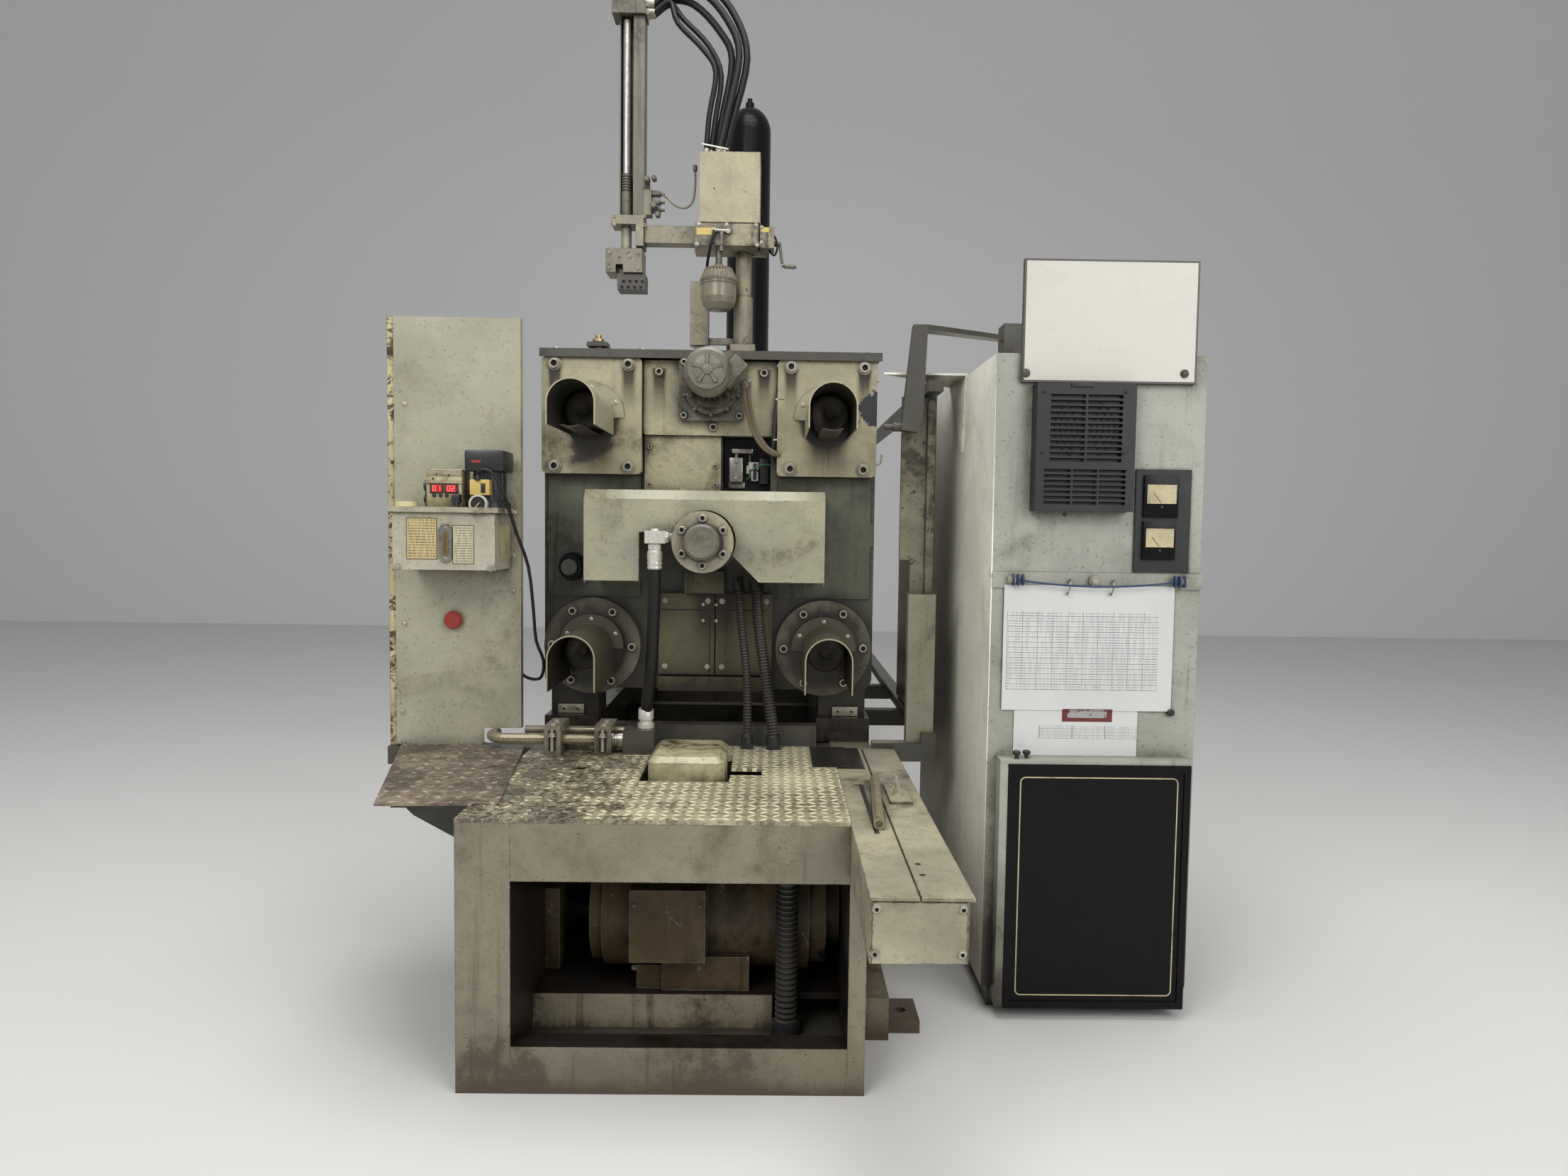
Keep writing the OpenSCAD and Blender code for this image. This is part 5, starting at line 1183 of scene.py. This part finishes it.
def filter_details():
    """The filter's fitting and bowl, the small tubes and the crank beside them."""
    y = BOX_FACE_Y
    fitting = Piece("filter_fitting", "base", "bolt")
    fitting.rod((-0.105, y, 2.604), (-0.105, y - 0.02, 2.604), 0.012, 6)
    fitting.rod((-0.04, y, 2.6), (-0.04, y - 0.02, 2.6), 0.012, 6)
    fitting.rod((-0.105, y - 0.014, 2.604), (-0.04, y - 0.014, 2.6), 0.007, 12)
    fitting.rod((-0.07, y - 0.014, 2.602), (-0.074, y + 0.02, 2.52), 0.009, 12)
    fitting.rod((-0.085, y + 0.04, 2.53), (-0.085, y + 0.04, 2.556), 0.02, 6).done()
    tubes = Piece("sprayer_tubes", "base", "rubber")
    tubes.hose([(-0.105, y - 0.018, 2.6), (-0.112, y - 0.03, 2.56), (-0.128, y - 0.01, 2.5),
        (-0.14, y + 0.04, 2.45), (-0.14, y + 0.06, 2.42)], 0.007)
    tubes.hose([(0.15, 1.86, 2.6), (0.178, 1.85, 2.59), (0.19, 1.85, 2.54), (0.176, 1.852, 2.505),
        (0.15, 1.858, 2.53)], 0.005).done()
    crank = Piece("height_crank", "base", "sprayer_dark")
    for x0, z0, x1, z1, r, n, chamfer in ((0.16, 2.56, 0.205, 2.56, 0.012, 16, 0.002),
            (0.2, 2.566, 0.214, 2.47, 0.007, 12, 0), (0.212, 2.458, 0.282, 2.454, 0.006, 12, 0),
            (0.222, 2.4575, 0.276, 2.4545, 0.01, 14, 0.003)):
        crank.rod((x0, CRANK_Y, z0), (x1, CRANK_Y, z1), r, n, chamfer)
    crank.done()
    bowl = Piece("filter_ribs", "base", "filter")
    centre = Vector((-0.085, SPRAYER_Y - 0.11, ARM_Z))
    for k in range(28):
        a = 2 * math.pi * k / 28
        out = Vector((math.cos(a), math.sin(a), 0))
        bowl.rod(centre + out * 0.085 - 0.232 * UP, centre + out * 0.06 - 0.176 * UP, 0.0055, 8)
    for drop in (0.238, 0.252):
        bowl.lathe(centre - drop * UP, UP, [(0, 0.086), (0.005, 0.087), (0.007, 0.085)], 40)
    bowl.done()


def spray_guide_details():
    """Valves, air line and tie band beside the guide of the spray rod, and the nozzles."""
    y, valve_y, knob_x = SPRAYER_Y, 1.925, -0.203
    valves = Piece("spray_valves", "base", "sprayer_dark")
    for x, z, r, long in ((-0.43, 2.86, 0.014, 0.05), (-0.398, 2.868, 0.012, 0.04),
            (-0.398, 2.74, 0.016, 0.05), (-0.38, 2.7, 0.013, 0.04)):
        valves.rod((x, valve_y, z), (x, valve_y - long, z), r, 16, 0.003)
    for z in (2.724, 2.76, 2.8):
        valves.box((-0.414, 1.93, z), (-0.372, 1.975, z + 0.022), 0.003)
        valves.rod((-0.374, 1.952, z + 0.011), (-0.352, 1.952, z + 0.011), 0.007, 12)
    valves.rod((-0.43, 1.94, 2.82), (-0.43, 1.94, 2.885), 0.009, 12, 0.002)
    valves.rod((knob_x, y - 0.07, 2.9), (knob_x, y - 0.07, 2.93), 0.01, 12, 0.003).done()
    line = Piece("spray_air_line", "base", "clamp_steel")
    line.hose([(-0.366, 1.95, 2.809), (-0.338, 1.93, 2.787), (-0.298, 1.915, 2.748), (-0.251, 1.905, 2.734),
        (-0.216, 1.9, 2.76), (-0.203, 1.897, 2.827), (-0.203, 1.895, 2.905)], 0.0055).done()
    band = Piece("hose_tie_band", "base", "white")
    band.box((-0.172, y - 0.096, 3.006), (-0.045, y - 0.092, 3.013), 0.001,
        Matrix.Rotation(0.18, 3, "Y")).done()
    nozzles = Piece("spray_nozzles", "spray_head", "dark_iron")
    for start_x, z in ((-0.552, 2.365), (-0.544, 2.392)):
        for k in range(4):
            x = start_x + 0.03 * k
            nozzles.rod((x, y - 0.05, z), (x, y - 0.072, z), 0.0065, 12, 0.002)
    nozzles.done()


sprayer_fasteners()
filter_details()
spray_guide_details()


# Side panel, lubricator and its lead

PANEL_Y, TANK_Y, TANK_TOP_Z = -0.19, -0.359, 1.266
CONTROLLER_Y = -0.322
LEAD_ROUTE = ((-0.59, -0.334, 1.337), (-0.59, -0.336, 1.356), (-0.572, -0.338, 1.366),
    (-0.546, -0.338, 1.352), (-0.52, -0.33, 1.3), (-0.498, -0.3, 1.205), (-0.474, -0.262, 1.108),
    (-0.466, -0.24, 0.992), (-0.462, -0.225, 0.905), (-0.444, -0.215, 0.848), (-0.452, -0.2, 0.802),
    (-0.478, -0.172, 0.788), (-0.508, -0.152, 0.792), (-0.53, -0.16, 0.812))
SEGMENT_WIDTH = 0.0014


def panel_details():
    places = ((-0.831, 1.549), (-0.535, 1.039), (-0.532, 1.136), (-0.53, 1.256), (-0.843, 0.695),
        (-0.836, 0.942))
    screws = Piece("panel_screws", "base", "bolt")
    screws.facing(Piece.lathe, PANEL_Y, places, [(0, 0.0095), (0.0012, 0.0092)], 16)
    screws.facing(Piece.pan_screw, PANEL_Y - 0.001, places, 0.0062).done()
    plug = Piece("panel_plug", "base", "red")
    plug.lathe((-0.697, -0.2005, 0.956), FRONT, [(0, 0.0245), (0.004, 0.0245), (0.008, 0.021),
        (0.009, 0.012)], 28).done()


def lubricator_drive():
    """The black drive on the tank and the pieces beside it."""
    x, y, top = -0.576, -0.262, TANK_TOP_Z
    pump = Piece("lubricator_drive", "base", "black_plastic")
    pump.lathe((x, y, top), UP, [(0, 0.054), (0.014, 0.054), (0.016, 0.043), (0.1, 0.043)], 32)
    pump.box((x - 0.052, y - 0.062, top + 0.096), (x + 0.052, y + 0.046, top + 0.152), 0.007)
    for k in range(12):
        a = 2 * math.pi * k / 12
        at = Vector((x + 0.043 * math.cos(a), y + 0.043 * math.sin(a), top))
        pump.rod(at + 0.022 * UP, at + 0.092 * UP, 0.0022, 6)
    pump.box((-0.734, -0.314, top), (-0.728, -0.256, top + 0.064), 0.002)
    pump.rod((-0.742, -0.29, 1.322), (-0.728, -0.29, 1.322), 0.016, 20, 0.003)
    pump.rod((-0.743, -0.288, 1.288), (-0.728, -0.288, 1.288), 0.014, 20, 0.003)
    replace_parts(pump.done(), "lubricator_pump")
    badge = Piece("pump_badge", "base", "red")
    badge.box((-0.608, y - 0.0628, 1.384), (-0.584, y - 0.0615, 1.391)).done()
    at = Vector((-0.581, -0.33, 1.275))
    gauge = Piece("lubricator_gauge", "base", "bright")
    gauge.lathe(at, FRONT, [(0, 0.02), (0.02, 0.0235), (0.03, 0.0245), (0.033, 0.0235), (0.033, 0.0195),
        (0.028, 0.019)], 32)
    gauge.rod(at - 0.004 * FRONT, at - 0.03 * FRONT, 0.01, 12).done()
    dial = Piece("gauge_dial", "base", "dark_patch")
    dial.lathe(at + 0.0275 * FRONT, FRONT, [(0, 0.0192), (0.0008, 0.019)], 28).done()
    needle = Piece("gauge_needle", "base", "cap_cream")
    needle.box((at.x - 0.001, at.y - 0.0292, at.z - 0.013), (at.x + 0.001, at.y - 0.0283, at.z + 0.004), 0,
        tilt(40), at).done()


def lubricator_controller():
    """The cream case with its displays, buttons and plug."""
    front = CONTROLLER_Y + 0.0005
    case = Piece("lubricator_controller", "base", "cream_plastic")
    case.box((-0.728, CONTROLLER_Y, TANK_TOP_Z), (-0.634, -0.246, 1.366), 0.003)
    case.box((-0.73, CONTROLLER_Y - 0.004, 1.329), (-0.632, CONTROLLER_Y + 0.004, 1.333), 0.001)
    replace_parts(case.done(), "lubricator_pump")
    sticker = Piece("lubricator_sticker", "base", "yellow").box((-0.612, -0.33, 1.299), (-0.56, -0.3, 1.34),
        0.003)
    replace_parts(sticker.done(), "lubricator_pump")
    band = Piece("controller_top_band", "base", "bracket")
    band.box((-0.728, -0.3232, 1.348), (-0.634, front, 1.363), 0.0005).done()
    dark = Piece("controller_buttons", "base", "black_plastic")
    dark.box((-0.582, -0.3312, 1.304), (-0.57, -0.3295, 1.33), 0.001)
    for x in (-0.707, -0.69, -0.674):
        dark.rod((x, front, 1.297), (x, front - 0.004, 1.297), 0.0048, 14, 0.001)
    for x, z in ((-0.721, 1.331), (-0.71, 1.341), (-0.684, 1.332), (-0.658, 1.331), (-0.7, 1.352),
            (-0.668, 1.35)):
        dark.rod((x, front, z), (x, front - 0.002, z), 0.0026, 10)
    for x0, x1 in ((-0.718, -0.682), (-0.68, -0.643)):
        dark.box((x0, front - 0.002, 1.302), (x1, front, 1.328), 0.0008)
    dark.box((-0.655, -0.345, 1.278), (-0.634, -0.321, 1.3), 0.003)
    dark.rod((-0.645, -0.338, 1.266), (-0.645, -0.338, 1.29), 0.008).done()
    display_y = front - 0.0027
    glow = Piece("controller_displays", "base", "glow_red")
    for x0 in (-0.713, -0.675):
        glow.box((x0, display_y, 1.306), (x0 + 0.0265, display_y + 0.0012, 1.3245))
    glow.done()
    digits = Piece("display_digits", "base", "lit")
    for x, lit in ((-0.711, "abcdef"), (-0.699, "bc"), (-0.673, "abcdef"), (-0.661, "abged")):
        seven_segments(digits, x, 1.3085, 0.0085, 0.0135, display_y, lit)
    digits.done()


def seven_segments(piece, x, z, w, h, y, lit):
    """Adds the lit bars of one digit, seen along Y."""
    t = SEGMENT_WIDTH
    bars = {"a": (0, h - t, w, h), "b": (w - t, h / 2, w, h), "c": (w - t, 0, w, h / 2), "d": (0, 0, w, t),
        "e": (0, 0, t, h / 2), "f": (0, h / 2, t, h), "g": (0, h / 2 - t / 2, w, h / 2 + t / 2)}
    for key in lit:
        x0, z0, x1, z1 = bars[key]
        piece.box((x + x0, y - 0.0006, z + z0), (x + x1, y, z + z1))


def tank_details():
    for name, material, (x0, x1, z0, z1) in (("tank_label", "label_yellow", TANK_LABEL),
            ("tank_side_label", "label_pale", TANK_SIDE_LABEL)):
        Piece(name, "base", material).box((x0, TANK_Y - 0.0008, z0), (x1, TANK_Y - 0.0001, z1)).done()
    Piece("tank_end_label", "base", "cream_plastic").box((-0.5378, -0.318, 1.126),
        (-0.537, -0.222, 1.222)).done()
    rim = Piece("sight_glass_frame", "base", "steel")
    rim.sheet(rounded_outline(-0.6825, -0.6485, 1.122, 1.221, 0.0165, TANK_Y), (0, -0.005, 0))
    rim.facing(Piece.pan_screw, TANK_Y - 0.005, ((-0.6655, 1.212), (-0.6655, 1.131)), 0.0042).done()
    glass = Piece("sight_glass", "base", "dark_glass")
    glass.sheet(rounded_outline(-0.6735, -0.6575, 1.139, 1.204, 0.0078, TANK_Y - 0.005),
        (0, -0.0012, 0)).done()
    level = Piece("sight_glass_scale", "base", "label_yellow")
    level.box((-0.6672, TANK_Y - 0.0066, 1.146), (-0.6638, TANK_Y - 0.0061, 1.196)).done()
    Piece("tank_screws", "base", "bolt").facing(Piece.hex_screw, TANK_Y, ((-0.792, 1.108), (-0.549, 1.108)),
        0.007).done()


def lubricator_lead():
    route, r = smooth_path(LEAD_ROUTE, 3), 0.0045
    Piece("lubricator_lead", "base", "rubber").tube(route, r, 12).done()
    gland = Piece("lead_gland", "base", "black_plastic")
    gland.rod(route[0], route[0] + 0.014 * UP, 0.007, 12, 0.001).done()


panel_details()
lubricator_drive()
lubricator_controller()
tank_details()
lubricator_lead()


# Control cabinet: rail, cooler, meters, sheets, sign and breaker box

CAB_Y, RAIL_Z = -0.49, 1.103
RAIL_BOLTS = (0.785, 0.99, 1.212)


def cabinet_fasteners():
    bolts = Piece("cabinet_bolts", "base", "bolt")
    bolts.facing(Piece.hex_screw, CAB_Y - 0.012, grid(RAIL_BOLTS, (RAIL_Z,)), 0.0095).done()
    sign_screws = ((0.803, 1.611), (1.194, 1.615))
    dark = Piece("sign_screws", "base", "dark_iron")
    dark.facing(Piece.lathe, CAB_Y - 0.016, sign_screws, [(0, 0.011), (0.002, 0.0105)], 18)
    dark.facing(Piece.pan_screw, CAB_Y - 0.018, sign_screws, 0.0085).done()


def cooler_details():
    front = CAB_Y - 0.05
    cooler = Piece("cooler_grille_bars", "base", "vent")
    for x, z0, z1 in ((0.946, 1.392, 1.56), (0.914, 1.288, 1.378), (0.978, 1.288, 1.378)):
        cooler.box((x - 0.0022, front - 0.0004, z0), (x + 0.0022, front + 0.004, z1))
    cooler.box((0.906, front - 0.004, 1.574), (0.962, front + 0.002, 1.5838), 0.002)
    cooler.facing(Piece.pan_screw, front, ((0.842, 1.563), (1.04, 1.565), (0.841, 1.416), (1.039, 1.418)),
        0.0058).done()
    fan = Piece("cooler_fan", "base", "dark_iron")
    for r in (0.018, 0.032, 0.046, 0.06, 0.074):
        fan.tube(loop((0.946, front + 0.0125, 1.476), (r, 0, 0), (0, 0, r), 36), 0.0011, 6)
    fan.done()


def meters():
    bezels = Piece("meter_bezels", "base", "black")
    windows = Piece("meter_faces", "base", "cream_plastic")
    needles = Piece("meter_needles", "base", "black_plastic")
    face = CAB_Y - 0.006
    for (x0, x1, z0, z1), (a0, a1, b0, b1) in (((1.106, 1.192, 1.262, 1.367),
            (1.1135, 1.1865, 1.296, 1.343)), ((1.106, 1.188, 1.157, 1.253),
            (1.1135, 1.183, 1.188, 1.2345))):
        bezels.box((x0, face - 0.008, z0), (x1, face, z1), 0.002)
        windows.box((a0, face - 0.0092, b0), (a1, face - 0.0078, b1))
        middle = (a0 + a1) / 2
        needles.box((middle - 0.0006, face - 0.0098, b0 + 0.004), (middle + 0.0006, face - 0.009,
            b0 + 0.032), 0, tilt(-38), Vector((middle, face, b0)))
        needles.lathe((middle, face - 0.0092, b0 - 0.008), FRONT, [(0, 0.004), (0.002, 0.0035)], 12)
    for piece in (bezels, windows, needles):
        piece.done()


def cabinet_string():
    """The blue string with its knots at the rail's outer bolts, and the two binder rings of the sheet."""
    y, r = CAB_Y - 0.019, 0.0026
    knots = Piece("string_knots", "base", "blue")
    for x, side in ((RAIL_BOLTS[0], 1), (RAIL_BOLTS[2], -1)):
        for turn in range(3):
            knots.tube(loop((x + side * 0.012 * turn, y, RAIL_Z), (0, 0, 0.0125), (0, 0.0075, 0), 18),
                0.0028, 8)
    knots.done()
    left, right = RAIL_BOLTS[0] + 0.01, RAIL_BOLTS[2] - 0.01
    route = [Vector((left + (right - left) * t, y - 0.004 * math.sin(math.pi * t),
        RAIL_Z - 0.058 * t * (1 - t))) for t in (k / 24 for k in range(25))]
    made = Piece("tied_string", "base", "blue").tube(route, r, 8).done()
    rings = Piece("binder_rings", "base", "steel")
    for x in (0.926, 1.035):
        rings.tube(loop((x, CAB_Y - 0.012, 1.086), (0, -0.01, 0), (0.004, 0, 0.019), 24), 0.002, 8)
    rings.done()


def breaker_details():
    y = CAB_Y - 0.0545
    line = Piece("breaker_line", "base", "cream_plastic")
    outlines = ((0.8075, 1.2015, 0.062, 0.617, 0.014, y), (0.8105, 1.1985, 0.065, 0.614, 0.011, y))
    line.bridge(*([line.bm.verts.new(p) for p in rounded_outline(*outline)] for outline in outlines))
    line.done()
    strips = Piece("breaker_frame", "base", "cabinet")
    strips.box((0.757, CAB_Y - 0.056, 0.034), (0.7775, CAB_Y, 0.65), 0.001)
    strips.box((0.757, CAB_Y - 0.056, 0.6485), (1.232, CAB_Y, 0.66), 0.001).done()
    knobs = Piece("breaker_knobs", "base", "black_plastic")
    for x, y in ((0.8, -0.532), (0.826, -0.526)):
        knobs.rod((x, y, 0.66), (x, y, 0.668), 0.005, 12)
        knobs.lathe((x, y, 0.668), UP, [(0, 0.007), (0.004, 0.01), (0.009, 0.01), (0.012, 0.006)], 18)
    knobs.rod((1.194, CAB_Y, 0.773), (1.194, CAB_Y - 0.014, 0.773), 0.009, 18, 0.002)
    knobs.rod((0.913, CAB_Y, 1.266), (0.913, CAB_Y - 0.003, 1.266), 0.004, 12).done()


cabinet_fasteners()
cooler_details()
meters()
cabinet_string()
breaker_details()


# Deck, trough, pipes and bay

DECK_Z, TROUGH_TOP, TROUGH_Y = 0.6, 0.597, -1.327


def deck_details():
    corners = ((0.372, 0.58), (0.52, 0.58), (0.37, 0.502), (0.52, 0.502))
    screws = Piece("trough_screws", "base", "bolt")
    screws.facing(Piece.lathe, TROUGH_Y, corners, [(0, 0.0085), (0.0014, 0.008)], 18)
    screws.facing(Piece.socket_screw, TROUGH_Y - 0.001, corners, 0.0062, 0.005, 16)
    for x, y in ((0.491, -0.6), (0.487, -0.672)):
        screws.lathe((x, y, 0.603), UP, [(0, 0.014), (0.003, 0.0135)], 18)
        screws.lathe((x, y, 0.606), UP, [(0, 0.0105), (0.012, 0.0105)], 6)
        screws.rod((x, y, 0.618), (x, y, 0.63), 0.006, 12)
    screws.done()
    plates = Piece("trough_plates", "base", "trough")
    plates.box((0.464, -0.735, TROUGH_TOP), (0.516, -0.575, 0.603), 0.001).done()
    dark = Piece("deck_patches", "base", "dark_patch")
    dark.box((0.299, -0.398, DECK_Z), (0.3995, -0.156, DECK_Z + 0.0016), 0.0006)
    dark.box((0.4005, -0.4, TROUGH_TOP + 0.0002), (0.436, -0.156, TROUGH_TOP + 0.002), 0.0006)
    dark.box((0.4055, -0.96, TROUGH_TOP - 0.0004), (0.416, -0.56, TROUGH_TOP + 0.0004))
    for y in (-1.147, -1.207):
        dark.lathe((0.468, y, TROUGH_TOP), UP, [(0, 0.0055), (0.0004, 0.0055)], 16)
    dark.done()
    start, end = Vector((0.417, -0.935, 0.6095)), Vector((0.446, -0.55, 0.6095))
    pipe = Piece("loose_pipe", "base", "pipe")
    pipe.lathe(start, end - start, [(0.012, 0.0075), (0, 0.008), (0, 0.0118),
        ((end - start).length, 0.0118)], 20).done()


def pipe_fittings():
    pipe_y, pipe_z = PIPE
    union = Piece("pipe_union", "base", "steel")
    union.lathe((-0.262, pipe_y, pipe_z), (1, 0, 0), [(0, 0.018), (0.005, 0.024), (0.022, 0.024),
        (0.024, 0.021), (0.03, 0.021), (0.032, 0.0245), (0.046, 0.0245)]).done()
    clamp_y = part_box("feed_pipes")[0][1]
    bolts = Piece("pipe_clamp_bolts", "base", "bolt")
    gaps = Piece("pipe_clamp_gap_shade", "base", "groove_shade")
    for x in (-0.405, -0.268):
        for y in (pipe_y - 0.02, pipe_y + 0.03):
            bolts.hex_screw((x, y, pipe_z + 0.042), UP, 0.0075)
        # Dark boxes in the clamps' gaps: painted shade.
        gaps.box((x - 0.01, clamp_y - 0.0008, pipe_z - 0.026), (x + 0.01, clamp_y + 0.002, pipe_z + 0.03))
        bolts.rod((x, clamp_y - 0.003, pipe_z - 0.026), (x, clamp_y - 0.003, pipe_z + 0.034), 0.0045, 12)
        bolts.hex_screw((x, clamp_y - 0.003, pipe_z + 0.014), UP, 0.0085, 0.008)
    gaps.done()
    bolts.done()


def bay_details():
    """The screws of the motor's terminal box and the coupling guard, seen in the bay."""
    screws = Piece("bay_screws", "base", "dark_iron")
    screws.facing(Piece.hex_screw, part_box("pump_motor")[0][1], grid((-0.12, 0.031), (0.205, 0.352)),
        0.005).done()
    guard = Piece("coupling_guard", "base", "bay_motor")
    guard.box((-0.388, -0.56, MOTOR_SHELF_Z), (-0.325, -0.48, 0.33), 0.006).done()


deck_details()
pipe_fittings()
bay_details()


# Floor, backdrop and lamps

STAGE = (("floor", ((-14, -9, 0), (14, -9, 0), (14, 16, 0), (-14, 16, 0)), (0.62, 0.61, 0.59)),
    ("backdrop", ((-14, 9, 0), (14, 9, 0), (14, 9, 11), (-14, 9, 11)), (0.72, 0.72, 0.71)))
LAMPS = (("key", (-2.2, -4.2, 4.4), (0, 0.2, 1.1), 2.6, 135), ("fill", (3.0, -4.2, 3.0), (0.4, 0, 0.9), 2.8,
    112), ("top", (0.2, -0.2, 5.8), (0, -0.1, 0.5), 3.6, 190))


def stage():
    for name, corners, colour in STAGE:
        mesh = bpy.data.meshes.new(name)
        mesh.from_pydata([Vector(c) for c in corners], [], [(0, 1, 2, 3)])
        made = bpy.data.objects.new(name, mesh)
        bpy.context.collection.objects.link(made)
        mesh.materials.append(Shader(name).finish(colour, 0.8))


def light():
    world = bpy.data.worlds.new("world")
    world.use_nodes = True
    background = world.node_tree.nodes["Background"]
    background.inputs["Color"].default_value = (0.95, 0.97, 1.0, 1)
    background.inputs["Strength"].default_value = 0.4
    bpy.context.scene.world = world
    for name, at, aim, size, power in LAMPS:
        data = bpy.data.lights.new(name, "AREA")
        data.size = size
        data.energy = power
        lamp = bpy.data.objects.new(name, data)
        lamp.location = at
        lamp.rotation_euler = (Vector(aim) - Vector(at)).to_track_quat("-Z", "Y").to_euler()
        bpy.context.collection.objects.link(lamp)
    bpy.context.scene.view_settings.view_transform = "Standard"


stage()
light()
